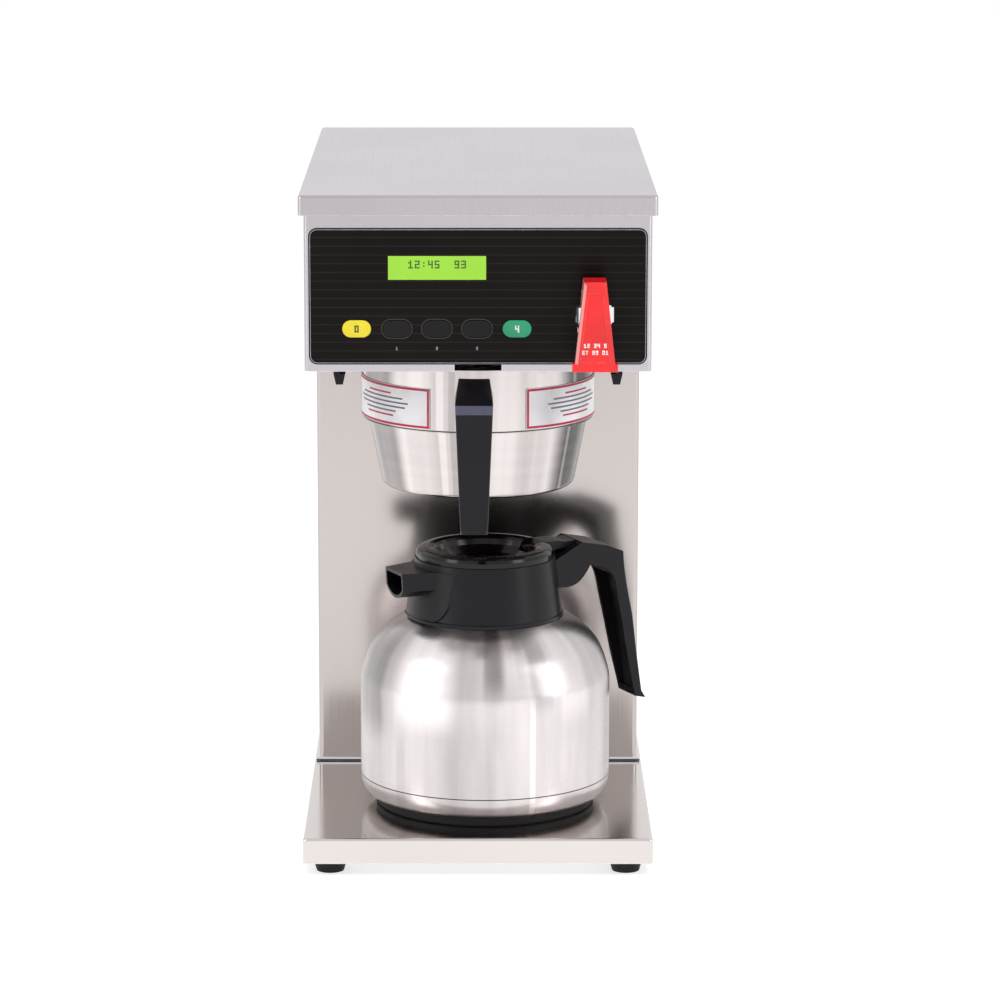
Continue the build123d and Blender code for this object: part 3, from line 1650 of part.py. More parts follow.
with BuildPart() as carafe_collar:
    for reach, half in ((spout_reach, spout_half), (spout_root, spout_root_half)):
        with BuildSketch(across_plane.offset(reach)):
            with BuildLine():
                Polyline(
                    (-half, spout_middle),
                    (-half, spout_high),
                    (half, spout_high),
                    (half, spout_middle),
                )
                ThreePointArc((half, spout_middle), (0, spout_low), (-half, spout_middle))
            make_face()
    loft()
    with BuildSketch(carafe_plane):
        Polygon(
            (-spout_reach, spout_high - spout_wall),
            (-spout_reach + spout_rake, spout_low - 1),
            (-spout_reach - 1, spout_low - 1),
            (-spout_reach - 1, spout_high - spout_wall),
            align=None,
        )
    extrude(amount=2 * spout_half, both=True, mode=Mode.SUBTRACT)
    lathe([(0, collar_foot)] + collar_outline + [(0, collar_top)], carafe_centre)
    add(spout_pad.part)
    add(spout_hollow.part, mode=Mode.SUBTRACT)
    lathe(
        [
            (0, neck_z - 1),
            (neck_radius - collar_inset, neck_z - 1),
            (neck_radius - collar_inset, collar_foot),
            (shell_neck + touch_gap, neck_base_z + seam),
            (shell_neck + touch_gap, collar_seat),
            (collar_bore, collar_seat),
            (collar_bore, collar_top + 1),
            (0, collar_top + 1),
        ],
        carafe_centre,
        Mode.SUBTRACT,
    )

carafe_collar.part.label = "carafe_collar"
export_step(carafe_collar.part, "parts/carafe_collar.step")


def beside_collar(out, drop):
    # A point in the handle's plane, given from the collar's top edge outwards and down
    return (collar_top_radius + out, collar_top - drop)


grip_head_half = 17.0
grip_tail_half = 12.5
grip_skin = 3.0
grip_round = 1.5
taper_high = collar_top - 8
taper_low = collar_top - 104
trough_half = 9.7
trough_reach = 17.6
trough_drop = 1.6
arm_start = beside_collar(-6.9, 6.3)
arm_peak = beside_collar(17.6, -6.6)
arm_bend = beside_collar(36.1, -2.9)
grip_corner = beside_collar(48.7, 2.3)
grip_heel = beside_collar(65.6, 102.6)
grip_tip = beside_collar(68.0, 106.4)
grip_toe_corner = beside_collar(60.1, 104.6)
arch_top = beside_collar(23.5, 9.2)
arm_end = beside_collar(-6.9, 22.4)


def tapered(half_high, half_low):
    # The across-width of the handle, from its head down to its tail
    with BuildSketch(across_plane) as outline:
        Polygon(
            (-half_low, 0),
            (half_low, 0),
            (half_low, taper_low),
            (half_high, taper_high),
            (half_high, lid_top + lid_rise),
            (-half_high, lid_top + lid_rise),
            (-half_high, taper_high),
            (-half_low, taper_low),
            align=None,
        )
    extrude(outline.sketch, amount=-2 * carafe_radius, mode=Mode.INTERSECT)


with BuildPart() as grip_channel:
    with BuildSketch(carafe_plane):
        Polygon(
            beside_collar(49.0, 18.0),
            beside_collar(50.0, 30.6),
            beside_collar(53.7, 47.3),
            beside_collar(56.5, 65.6),
            beside_collar(59.0, 81.4),
            beside_collar(61.1, 95.6),
            beside_collar(61.6, 100.0),
            beside_collar(50.0, 100.0),
            beside_collar(40.4, 50.1),
            beside_collar(31.5, 18.0),
            align=None,
        )
    extrude(amount=grip_head_half, both=True)
    tapered(grip_head_half - grip_skin, grip_tail_half - grip_skin)

with BuildPart() as carafe_handle:
    with BuildSketch(carafe_plane):
        with BuildLine():
            Polyline(arm_start, arm_peak, arm_bend, grip_corner)
            Spline(
                grip_corner,
                beside_collar(53.0, 30.6),
                beside_collar(56.7, 47.3),
                beside_collar(59.5, 65.6),
                beside_collar(62.0, 81.4),
                grip_heel,
            )
            Polyline(grip_heel, grip_tip, grip_toe_corner)
            Spline(
                grip_toe_corner,
                beside_collar(54.2, 79.1),
                beside_collar(48.4, 50.1),
                beside_collar(44.7, 32.6),
                beside_collar(39.5, 16.3),
                arch_top,
                tangents=((-0.2, 1), (-1, 0)),
            )
            Spline(
                arch_top,
                beside_collar(13.8, 21.3),
                arm_end,
                tangents=((-0.5, -1), (-1, 0.1)),
            )
            Line(arm_end, arm_start)
        make_face()
    extrude(amount=grip_head_half, both=True)
    tapered(grip_head_half, grip_tail_half)
    side_edges = carafe_handle.edges().filter_by(
        lambda edge: abs(carafe_plane.to_local_coords(edge.center()).Z) > grip_tail_half - 1
        and carafe_plane.to_local_coords(edge.center()).X > grip_corner[0]
        and edge.center().Z > grip_heel[1]
    )
    fillet(side_edges, grip_round)
    add(grip_channel.part, mode=Mode.SUBTRACT)
    with BuildSketch(carafe_plane):
        Polygon(
            beside_collar(-8, trough_drop),
            beside_collar(trough_reach, trough_drop),
            beside_collar(trough_reach, -2 * lid_rise),
            beside_collar(-8, -2 * lid_rise),
            align=None,
        )
    extrude(amount=trough_half, both=True, mode=Mode.SUBTRACT)
    lathe(
        [(0, collar_foot)]
        + [(radius + pin_play, height) for radius, height in collar_outline]
        + [(collar_top_radius + pin_play, lid_top + lid_rise), (0, lid_top + lid_rise)],
        carafe_centre,
        Mode.SUBTRACT,
    )

carafe_handle.part.label = "carafe_handle"
export_step(carafe_handle.part, "parts/carafe_handle.step")

# Carafe lid: a plug with a deep brew-through dish and a thumb lever in a slot of its rim
plug_gap = 0.5
plug_depth = 17.6
plug_radius = collar_bore - plug_gap
plug_bottom = collar_top - plug_depth
plug_wall = 4.5
lid_rim_bottom = collar_top + seam
lid_floor = collar_top - 9.1
brew_hole = 5.0
brew_tube = 9.0
seal_height = 3.0
seal_depth = 2.2
seal_low = plug_bottom + seal_height
seal_high = seal_low + seal_height
lever_slot_half = 9.3
lever_slot_start = 29.0
slot_floor = collar_top - 0.4
lever_half = lever_slot_half - seam
lever_pivot_r = 42.0
lever_pivot_z = lid_top - 4.7
lever_reach = 63.5
lever_web = 0.8
lever_lift = 1.7
lever_nose = 3.0
trunnion_radius = 1.4
trunnion_length = 2.0
valve_r = 33.0
valve_rod = 2.0
valve_head_radius = 3.5
valve_head_height = 1.2
valve_tail = 6.0

with BuildPart() as carafe_lid:
    lathe(
        [
            (brew_hole, plug_bottom),
            (plug_radius - 0.6, plug_bottom),
            (plug_radius - 0.6, seal_low),
            (plug_radius - seal_depth, seal_low),
            (plug_radius - seal_depth, seal_high),
            (plug_radius, seal_high),
            (plug_radius, lid_rim_bottom),
            (lid_radius, lid_rim_bottom),
            (lid_radius, lid_top - 4),
            (lid_radius - 0.9, lid_top - 2.1),
            (lid_radius - 2.2, lid_top - 1.0),
            (lid_radius - 4, lid_top - 0.4),
            (lid_radius - 8, lid_top),
            (lid_radius - 11.5, lid_top - 1),
            (lid_radius - 13, lid_top - 2.5),
            (lid_radius - 14.5, lid_top - 6),
            (lid_radius - 19, lid_top - 10.5),
            (lid_radius - 28, lid_top - 12.7),
            (2 * brew_hole, lid_top - 13.2),
            (brew_hole, lid_top - 14),
        ],
        carafe_centre,
    )
    lathe(
        [
            (brew_tube, plug_bottom),
            (plug_radius - plug_wall, plug_bottom),
            (plug_radius - plug_wall, lid_floor),
            (brew_tube, lid_floor),
        ],
        carafe_centre,
        Mode.SUBTRACT,
    )
    with BuildSketch(carafe_plane):
        Polygon(
            (lever_slot_start, slot_floor),
            (lid_radius + 1, slot_floor),
            (lid_radius + 1, lid_top + 1),
            (lever_slot_start, lid_top + 1),
            align=None,
        )
    extrude(amount=lever_slot_half, both=True, mode=Mode.SUBTRACT)
    with BuildSketch(carafe_plane):
        with Locations((lever_pivot_r, lever_pivot_z)):
            Circle(trunnion_radius + pin_play)
    extrude(amount=lever_slot_half + trunnion_length + seam, both=True, mode=Mode.SUBTRACT)
    with BuildSketch(Plane.XY.offset(lid_floor - 1)):
        with Locations(carafe_plane.from_local_coords((valve_r, 0, 0))):
            Circle(valve_rod + seam)
    extrude(amount=lid_top - lid_floor, mode=Mode.SUBTRACT)

carafe_lid.part.label = "carafe_lid"
export_step(carafe_lid.part, "parts/carafe_lid.step")

seal_gap = 0.3
with BuildPart() as lid_seal:
    lathe(
        [
            (plug_radius - seal_depth + pin_play, seal_low + pin_play),
            (collar_bore - seal_gap, seal_low + pin_play),
            (collar_bore - seal_gap, seal_high - pin_play),
            (plug_radius - seal_depth + pin_play, seal_high - pin_play),
        ],
        carafe_centre,
    )

lid_seal.part.label = "lid_seal"
export_step(lid_seal.part, "parts/lid_seal.step")

with BuildPart() as thumb_lever:
    with BuildSketch(carafe_plane):
        Polygon(
            (valve_r - 2, slot_floor + lever_web),
            (lever_pivot_r - 1, slot_floor + lever_web),
            (lever_pivot_r + 1, slot_floor + lever_lift),
            (lid_radius + 1, slot_floor + lever_lift),
            (lever_reach, lid_top - 4),
            (lever_reach, lid_top - 1.4),
            (lever_reach - 1, lid_top - 0.4),
            (lever_reach - 7, lid_top - 1.0),
            (lid_radius + 4, lid_top),
            (lever_pivot_r - 2, lid_top),
            (lever_pivot_r - 4.5, slot_floor + lever_nose + 1.5),
            (valve_r + valve_head_radius + seam, slot_floor + lever_nose),
            (valve_r - 2, slot_floor + lever_nose),
            align=None,
        )
    extrude(amount=lever_half, both=True)
    with BuildSketch(carafe_plane):
        with Locations((lever_pivot_r, lever_pivot_z)):
            Circle(trunnion_radius)
    extrude(amount=lever_slot_half + trunnion_length, both=True)
    with BuildSketch(carafe_plane):
        Polygon(
            (valve_r - 3, slot_floor),
            (valve_r + valve_rod + seam, slot_floor),
            (valve_r + valve_rod + seam, lid_top),
            (valve_r - 3, lid_top),
            align=None,
        )
    extrude(amount=valve_rod + seam, both=True, mode=Mode.SUBTRACT)

thumb_lever.part.label = "thumb_lever"
export_step(thumb_lever.part, "parts/thumb_lever.step")

valve_head_z = slot_floor + lever_nose + seam
with BuildPart() as pour_valve:
    valve_place = carafe_plane.from_local_coords((valve_r, 0, 0))
    lathe(
        [
            (0, lid_floor - valve_tail),
            (valve_rod - 1, lid_floor - valve_tail),
            (valve_rod, lid_floor - valve_tail + 1),
            (valve_rod, valve_head_z),
            (valve_head_radius, valve_head_z),
            (valve_head_radius, valve_head_z + valve_head_height),
            (0, valve_head_z + valve_head_height),
        ],
        (valve_place.X, valve_place.Y),
    )

pour_valve.part.label = "pour_valve"
export_step(pour_valve.part, "parts/pour_valve.step")
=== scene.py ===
import bpy
import bmesh
import math
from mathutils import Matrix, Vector


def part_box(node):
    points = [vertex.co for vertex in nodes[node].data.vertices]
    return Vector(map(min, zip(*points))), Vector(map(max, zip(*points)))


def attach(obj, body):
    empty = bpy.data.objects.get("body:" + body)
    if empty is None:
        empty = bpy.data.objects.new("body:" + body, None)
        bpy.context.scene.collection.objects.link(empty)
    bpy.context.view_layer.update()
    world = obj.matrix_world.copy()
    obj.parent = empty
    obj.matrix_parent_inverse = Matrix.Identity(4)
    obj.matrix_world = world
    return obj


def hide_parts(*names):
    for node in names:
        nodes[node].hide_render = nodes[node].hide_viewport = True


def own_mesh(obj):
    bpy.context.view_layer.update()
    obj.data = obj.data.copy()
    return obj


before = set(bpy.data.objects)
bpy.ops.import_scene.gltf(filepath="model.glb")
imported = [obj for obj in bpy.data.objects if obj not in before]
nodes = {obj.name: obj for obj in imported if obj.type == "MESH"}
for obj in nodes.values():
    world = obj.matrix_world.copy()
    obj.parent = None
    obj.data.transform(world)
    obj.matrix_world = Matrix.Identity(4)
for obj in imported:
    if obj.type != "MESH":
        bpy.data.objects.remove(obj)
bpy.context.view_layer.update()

mm = 0.001
print("stage: frame loaded,", len(nodes), "nodes")


# helpers for node trees

def addNode(tree, kind, links=(), **settings):
    # what goes into an input is another node's socket or a plain value
    node = tree.nodes.new(kind)
    for key, value in settings.items():
        setattr(node, key, value)
    for index, source in links:
        if isinstance(source, bpy.types.NodeSocket):
            tree.links.new(source, node.inputs[index])
        else:
            node.inputs[index].default_value = source
    return node


def mathNode(tree, operation, a, b=0.0, c=0.0, clamp=False):
    node = addNode(tree, "ShaderNodeMath", [(0, a), (1, b), (2, c)], operation=operation, use_clamp=clamp)
    return node.outputs[0]


def vectorNode(tree, operation, a, b=(0.0, 0.0, 0.0), scale=1.0):
    node = addNode(tree, "ShaderNodeVectorMath", [(0, a), (1, b), (3, scale)], operation=operation)
    return node.outputs["Value" if operation in ("LENGTH", "DOT_PRODUCT") else "Vector"]


def noiseNode(tree, place, scale, detail):
    links = [("Vector", place), ("Scale", scale), ("Detail", detail)]
    return addNode(tree, "ShaderNodeTexNoise", links).outputs["Fac"]


def rangeNode(tree, value, start, end, low=0.0, high=1.0, kind="LINEAR"):
    links = [(0, value), (1, start), (2, end), (3, low), (4, high)]
    return addNode(tree, "ShaderNodeMapRange", links, interpolation_type=kind).outputs[0]


def splitAxes(tree, vector):
    return addNode(tree, "ShaderNodeSeparateXYZ", [(0, vector)]).outputs


def joinAxes(tree, x=0.0, y=0.0, z=0.0):
    return addNode(tree, "ShaderNodeCombineXYZ", [(0, x), (1, y), (2, z)]).outputs[0]


def mixColours(tree, mask, plain, over):
    links = [(0, mask), (6, plain), (7, (*over, 1))]
    return addNode(tree, "ShaderNodeMix", links, data_type="RGBA").outputs[2]


def objectPlace(tree):
    return addNode(tree, "ShaderNodeTexCoord").outputs["Object"]


def aboutAxis(tree, axis):
    # the place as seen from an upright axis, and the same place brought down to the axis's foot
    shifted = vectorNode(tree, "SUBTRACT", objectPlace(tree), axis)
    return shifted, vectorNode(tree, "MULTIPLY", shifted, (1.0, 1.0, 0.0))


def swing(tree, noise, depth):
    # noise between 0 and 1 made a change that goes as far down as up
    return mathNode(tree, "MULTIPLY", mathNode(tree, "SUBTRACT", noise, 0.5), depth)


def blend(tree, first, second, share):
    # a share of one noise and the rest of another
    rest = mathNode(tree, "MULTIPLY", second, 1 - share)
    return mathNode(tree, "MULTIPLY_ADD", first, share, rest)


# node groups shared by the materials

def newGroup(name, inputs, outputs):
    # an input that holds three numbers is a vector, and every other socket is a plain value
    group = bpy.data.node_groups.new(name, "ShaderNodeTree")
    for label, value in inputs.items():
        kind = "NodeSocketVector" if isinstance(value, tuple) else "NodeSocketFloat"
        socket = group.interface.new_socket(name=label, in_out="INPUT", socket_type=kind)
        socket.default_value = value
    for label in outputs:
        group.interface.new_socket(name=label, in_out="OUTPUT", socket_type="NodeSocketFloat")
    entry = group.nodes.new("NodeGroupInput")
    leave = group.nodes.new("NodeGroupOutput")
    return group, entry.outputs, leave.inputs


def putOut(group, leave, **results):
    for label, source in results.items():
        group.links.new(source, leave[label])
    return group


def makeBrushedGroup():
    # long fine scratches: the coordinates are squeezed along the brushing
    look = {"detail": 3.0, "cloudScale": 7.0, "cloudDetail": 2.0, "cloud": 0.16, "rough": 0.10}
    inputs = {"Across": (1500.0, 8.0, 8.0), "Depth": 0.5}
    group, entry, leave = newGroup("brushedSheet", inputs, ("Tone", "Rough", "Height"))
    place = objectPlace(group)
    fine = noiseNode(group, vectorNode(group, "MULTIPLY", place, entry["Across"]), 1.0, look["detail"])
    wide = noiseNode(group, place, look["cloudScale"], look["cloudDetail"])
    cloud = swing(group, wide, look["cloud"])
    tone = mathNode(group, "ADD", swing(group, fine, entry["Depth"]), cloud)
    rough = mathNode(group, "ADD", swing(group, fine, look["rough"]), cloud)
    return putOut(group, leave, Tone=tone, Rough=rough, Height=fine)


def makeTurnedGroup():
    # rings left by the lathe: noise on the height and radius, nearly constant round the axis
    look = {"wander": 1.3, "detail": 3.0, "coarseScale": 0.12, "coarseDetail": 2.0, "coarse": 0.6,
            "rough": 0.3}
    inputs = {"Axis": (0.0, 0.0, 0.0), "Fineness": 900.0, "Depth": 0.5}
    group, entry, leave = newGroup("turnedRings", inputs, ("Tone", "Rough", "Height"))
    shifted, level = aboutAxis(group, entry["Axis"])
    x, y, height = splitAxes(group, shifted)
    along = mathNode(group, "ADD", height, vectorNode(group, "LENGTH", level))
    ring = mathNode(group, "MULTIPLY", along, entry["Fineness"])
    turn = mathNode(group, "MULTIPLY", mathNode(group, "ARCTAN2", y, x), look["wander"])
    place = joinAxes(group, ring, turn)
    fine = noiseNode(group, place, 1.0, look["detail"])
    coarse = noiseNode(group, place, look["coarseScale"], look["coarseDetail"])
    both = blend(group, coarse, fine, look["coarse"])
    tone = swing(group, both, entry["Depth"])
    return putOut(group, leave, Tone=tone, Rough=swing(group, both, look["rough"]), Height=both)


def makeEdgeWearAndHighlightGroup():
    # a mask for worn places and painted highlights on the edges: 1 on the bends and arrises, broken up by
    # noise
    look = {"samples": 4, "detail": 4.0, "contrast": 2.4, "bias": -0.75}
    inputs = {"Radius": 0.0012, "Breakup": 180.0, "Gain": 4.0}
    group, entry, leave = newGroup("edgeWearAndHighlight", inputs, ("Mask",))
    bevel = addNode(group, "ShaderNodeBevel", [("Radius", entry["Radius"])], samples=look["samples"])
    surface = addNode(group, "ShaderNodeNewGeometry")
    facing = vectorNode(group, "DOT_PRODUCT", bevel.outputs[0], surface.outputs["Normal"])
    turned = mathNode(group, "SUBTRACT", 1.0, facing, clamp=True)
    strong = mathNode(group, "MULTIPLY", turned, entry["Gain"], clamp=True)
    breakupNoise = noiseNode(group, objectPlace(group), entry["Breakup"], look["detail"])
    broken = mathNode(group, "MULTIPLY_ADD", breakupNoise, look["contrast"], look["bias"], clamp=True)
    return putOut(group, leave, Mask=mathNode(group, "MULTIPLY", strong, broken))


def makeMouldGroup():
    # moulded plastic: fine spark-eroded grain, slight cloudiness
    look = {"grainDetail": 2.0, "cloudDetail": 4.0, "rough": 0.24}
    inputs = {"Grain": 2600.0, "Cloud": 30.0}
    group, entry, leave = newGroup("mouldedGrain", inputs, ("Height", "Tone", "Rough"))
    place = objectPlace(group)
    grain = noiseNode(group, place, entry["Grain"], look["grainDetail"])
    cloud = noiseNode(group, place, entry["Cloud"], look["cloudDetail"])
    rough = swing(group, cloud, look["rough"])
    return putOut(group, leave, Height=grain, Tone=swing(group, cloud, 1.0), Rough=rough)


def makePaintedReflectionBandsGroup():
    # painted reflections: soft lighter and darker upright bands round a turned form, as a polished wall shows
    # them by reflecting its surroundings
    look = {"broadDetail": 1.5, "narrowScale": 5.0, "narrowDetail": 2.0, "broad": 0.75}
    inputs = {"Axis": (0.0, 0.0, 0.0), "Count": 2.0, "Rise": 4.0, "Seed": 0.0, "Depth": 0.6}
    group, entry, leave = newGroup("paintedReflectionBands", inputs, ("Tone",))
    shifted, level = aboutAxis(group, entry["Axis"])
    way = vectorNode(group, "NORMALIZE", level)
    spread = vectorNode(group, "SCALE", way, scale=entry["Count"])
    climb = mathNode(group, "MULTIPLY_ADD", splitAxes(group, shifted)[2], entry["Rise"], entry["Seed"])
    place = vectorNode(group, "ADD", spread, joinAxes(group, z=climb))
    broad = noiseNode(group, place, 1.0, look["broadDetail"])
    narrow = noiseNode(group, place, look["narrowScale"], look["narrowDetail"])
    both = blend(group, broad, narrow, look["broad"])
    return putOut(group, leave, Tone=swing(group, both, entry["Depth"]))


def makePaintedStreakGroup():
    # one upright streak of painted light on a turned wall: a painted highlight where it is lighter, painted
    # shade where it is darker; it fades out at both ends
    inputs = {"Axis": (0.0, 0.0, 0.0), "Facing": (0.0, -1.0, 0.0), "Outer": 0.9, "Inner": 0.98,
              "Low": 0.0, "High": 0.1, "Fade": 0.012, "Depth": 0.3}
    group, entry, leave = newGroup("paintedWallStreak", inputs, ("Tone",))
    shifted, level = aboutAxis(group, entry["Axis"])
    way = vectorNode(group, "NORMALIZE", level)
    near = vectorNode(group, "DOT_PRODUCT", way, entry["Facing"])
    mask = rangeNode(group, near, entry["Outer"], entry["Inner"], kind="SMOOTHSTEP")
    height = splitAxes(group, shifted)[2]
    for end, below, above in (("Low", 0.0, 1.0), ("High", 1.0, 0.0)):
        start = mathNode(group, "SUBTRACT", entry[end], entry["Fade"])
        stop = mathNode(group, "ADD", entry[end], entry["Fade"])
        fading = rangeNode(group, height, start, stop, below, above, "SMOOTHSTEP")
        mask = mathNode(group, "MULTIPLY", mask, fading)
    return putOut(group, leave, Tone=mathNode(group, "MULTIPLY", mask, entry["Depth"]))


brushedSheet = makeBrushedGroup()
turnedRings = makeTurnedGroup()
edgeWearAndHighlight = makeEdgeWearAndHighlightGroup()
mouldedGrain = makeMouldGroup()
paintedReflectionBands = makePaintedReflectionBandsGroup()
paintedWallStreak = makePaintedStreakGroup()
print("stage: node groups made")


# helpers for materials

def startMaterial(name, colour, metallic, rough):
    material = bpy.data.materials.new(name)
    material.use_nodes = True
    shader = material.node_tree.nodes["Principled BSDF"]
    shader.inputs["Base Color"].default_value = (*colour, 1)
    shader.inputs["Metallic"].default_value = metallic
    shader.inputs["Roughness"].default_value = rough
    return material, material.node_tree, shader


def placeGroup(tree, group, **values):
    return addNode(tree, "ShaderNodeGroup", values.items(), node_tree=group).outputs


def toned(tree, shader, colour, tone, rubAndHighlightMask=None, rubAndHighlightColour=None):
    # the colour made lighter or darker by a tone, with worn places and painted edge highlights laid over it
    result = vectorNode(tree, "SCALE", colour, scale=mathNode(tree, "ADD", 1.0, tone))
    if rubAndHighlightMask is not None:
        result = mixColours(tree, rubAndHighlightMask, result, rubAndHighlightColour)
    tree.links.new(result, shader.inputs["Base Color"])


def laidOver(material, mask, colour):
    # another colour laid over the base colour where the mask says so
    tree = material.node_tree
    base = tree.nodes["Principled BSDF"].inputs["Base Color"]
    tree.links.new(mixColours(tree, mask, base.links[0].from_socket, colour), base)


def roughened(tree, shader, base, change):
    tree.links.new(mathNode(tree, "ADD", base, change, clamp=True), shader.inputs["Roughness"])


def bumped(tree, shader, height, distance, strength):
    links = [("Strength", strength), ("Distance", distance), ("Height", height)]
    tree.links.new(addNode(tree, "ShaderNodeBump", links).outputs[0], shader.inputs["Normal"])


# brushed and turned metals

# the pale colour laid on the steel's bends is partly worn polish and partly a painted highlight
brushing = {"edgeMaskRadius": 0.0010, "edgeMaskGain": 3.0, "rubAndHighlightColour": (0.92, 0.92, 0.93), "bump": 0.00001,
            "strength": 0.12}
turning = {"streakCore": 0.4, "edgeFall": 2.2, "bump": 0.00003, "strength": 0.4}


def sheetSteel(name, colour, across, rough, depth):
    material, tree, shader = startMaterial(name, colour, 1.0, rough)
    grain = placeGroup(tree, brushedSheet, Across=across, Depth=depth)
    rubAndHighlight = placeGroup(tree, edgeWearAndHighlight, Radius=brushing["edgeMaskRadius"], Gain=brushing["edgeMaskGain"])
    toned(tree, shader, colour, grain["Tone"], rubAndHighlight["Mask"], brushing["rubAndHighlightColour"])
    roughened(tree, shader, rough, grain["Rough"])
    bumped(tree, shader, grain["Height"], brushing["bump"], brushing["strength"])
    return material


def paintedStreakTone(tree, axis, angle, width, low, high, depth):
    # the angle is to the right of the front and the width to either side, both in degrees
    way = math.radians(angle)
    streak = placeGroup(tree, paintedWallStreak, Axis=axis, Facing=(math.sin(way), -math.cos(way), 0.0),
                        Outer=math.cos(math.radians(width)),
                        Inner=math.cos(math.radians(width * turning["streakCore"])),
                        Low=low * mm, High=high * mm, Depth=depth)
    return streak["Tone"]


def turnedSteel(name, colour, axis, fineness, rough, depth, bands=None, edge=0.0, streaks=()):
    # a turned wall: lathe rings, painted reflections as soft upright bands and streaks, and painted shade
    # where it turns away
    material, tree, shader = startMaterial(name, colour, 1.0, rough)
    rings = placeGroup(tree, turnedRings, Axis=axis, Fineness=fineness, Depth=depth)
    tone = rings["Tone"]
    if bands:
        tone = mathNode(tree, "ADD", tone, placeGroup(tree, paintedReflectionBands, Axis=axis, **bands)["Tone"])
    for streak in streaks:
        tone = mathNode(tree, "ADD", tone, paintedStreakTone(tree, axis, *streak))
    # painted shade: the wall made darker where it turns away from the camera
    if edge:
        weight = addNode(tree, "ShaderNodeLayerWeight", [("Blend", 0.5)])
        turned = mathNode(tree, "POWER", weight.outputs["Facing"], turning["edgeFall"])
        tone = mathNode(tree, "MULTIPLY_ADD", turned, -edge, tone)
    toned(tree, shader, colour, tone)
    roughened(tree, shader, rough, rings["Rough"])
    bumped(tree, shader, rings["Height"], turning["bump"], turning["strength"])
    return material


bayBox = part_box("brew_basket")
bayAxis = ((bayBox[0].x + bayBox[1].x) / 2, (bayBox[0].y + bayBox[1].y) / 2, 0.0)
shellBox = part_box("carafe_shell")
carafeAxis = ((shellBox[0].x + shellBox[1].x) / 2, (shellBox[0].y + shellBox[1].y) / 2, 0.0)

# each painted streak, a highlight when lighter and shade when darker: angle, width, lowest and highest place
# in millimetres, and how much lighter or darker
basketPaintedStreaks = (
    (-62, 20, 200, 400, -0.62), (-36, 16, 200, 400, 0.22), (-19, 2.6, 200, 400, 0.30),
    (-13, 2.2, 200, 400, -0.22), (14, 9, 200, 400, 0.14), (33, 9, 200, 400, -0.10),
    (66, 25, 200, 400, -0.68), (56, 1.8, 200, 400, 0.30),
)
carafePaintedStreaks = (
    (-66, 18, 84, 150, -0.30), (-30, 19, 96, 158, 0.40), (4, 6, 118, 165, -0.45), (13, 3.5, 122, 165, 0.20),
    (27, 7, 110, 150, -0.35), (45, 11, 100, 158, 0.25), (-42, 3.5, 20, 80, -0.12), (22, 1.7, 20, 112, 0.28),
    (78, 10, 20, 110, -0.20), (-8, 24, 24, 96, -0.12),
)
# each sheet: its colour, how much finer the scratches are along each axis, its roughness and their depth
# steelFront, steelColumn, steelCover and steelBase are one steel, given lighter and darker colours as painted
# light and shade
sheetLooks = {
    "steelFront": ((0.50, 0.465, 0.495), (6.0, 6.0, 1900.0), 0.24, 0.07),
    "steelColumn": ((0.46, 0.42, 0.405), (1900.0, 1900.0, 5.0), 0.17, 0.10),
    "steelCover": ((0.48, 0.445, 0.48), (1900.0, 6.0, 6.0), 0.26, 0.07),
    "steelBase": ((0.62, 0.58, 0.565), (6.0, 1900.0, 1900.0), 0.13, 0.07),
    "steelInner": ((0.50, 0.50, 0.50), (900.0, 8.0, 8.0), 0.36, 0.16),
    "chromePlate": ((0.78, 0.79, 0.81), (200.0, 200.0, 200.0), 0.08, 0.03),
    "brassTurned": ((0.66, 0.48, 0.22), (500.0, 500.0, 900.0), 0.3, 0.1),
    "copperTube": ((0.68, 0.36, 0.24), (300.0, 300.0, 300.0), 0.28, 0.1),
}
turnedLooks = {
    "steelBasket": {
        "colour": (0.56, 0.52, 0.51), "axis": bayAxis, "fineness": 1400.0, "rough": 0.16, "depth": 0.22,
        "bands": {"Count": 1.7, "Rise": 1.0, "Seed": 3.4, "Depth": 1.4}, "edge": 0.20,
        "streaks": basketPaintedStreaks,
    },
    "steelCarafe": {
        "colour": (0.60, 0.56, 0.56), "axis": carafeAxis, "fineness": 1800.0, "rough": 0.30, "depth": 0.10,
        "bands": {"Count": 1.6, "Rise": 3.0, "Seed": 0.7, "Depth": 1.3}, "edge": 0.35,
        "streaks": carafePaintedStreaks,
    },
    "steelLiner": {
        "colour": (0.66, 0.66, 0.66), "axis": carafeAxis, "fineness": 900.0, "rough": 0.2, "depth": 0.1,
    },
}
finish = {name: sheetSteel(name, *look) for name, look in sheetLooks.items()}
finish.update({name: turnedSteel(name, **look) for name, look in turnedLooks.items()})
print("stage: metals made")


# plastics and rubber

moulding = {"edgeMaskRadius": 0.0008, "edgeMaskGain": 2.0, "strength": 0.5, "coatRough": 0.08}


def moulded(name, colour, rough, grain=2600.0, bump=0.00003, paleEdge=None, coat=0.0, shine=0.5):
    material, tree, shader = startMaterial(name, colour, 0.0, rough)
    skin = placeGroup(tree, mouldedGrain, Grain=grain)
    if paleEdge:
        rubAndHighlight = placeGroup(tree, edgeWearAndHighlight, Radius=moulding["edgeMaskRadius"], Gain=moulding["edgeMaskGain"])
        toned(tree, shader, colour, skin["Tone"], rubAndHighlight["Mask"], paleEdge)
    else:
        toned(tree, shader, colour, skin["Tone"])
    roughened(tree, shader, rough, skin["Rough"])
    bumped(tree, shader, skin["Height"], bump, moulding["strength"])
    shader.inputs["Coat Weight"].default_value = coat
    shader.inputs["Specular IOR Level"].default_value = shine
    shader.inputs["Coat Roughness"].default_value = moulding["coatRough"]
    return material


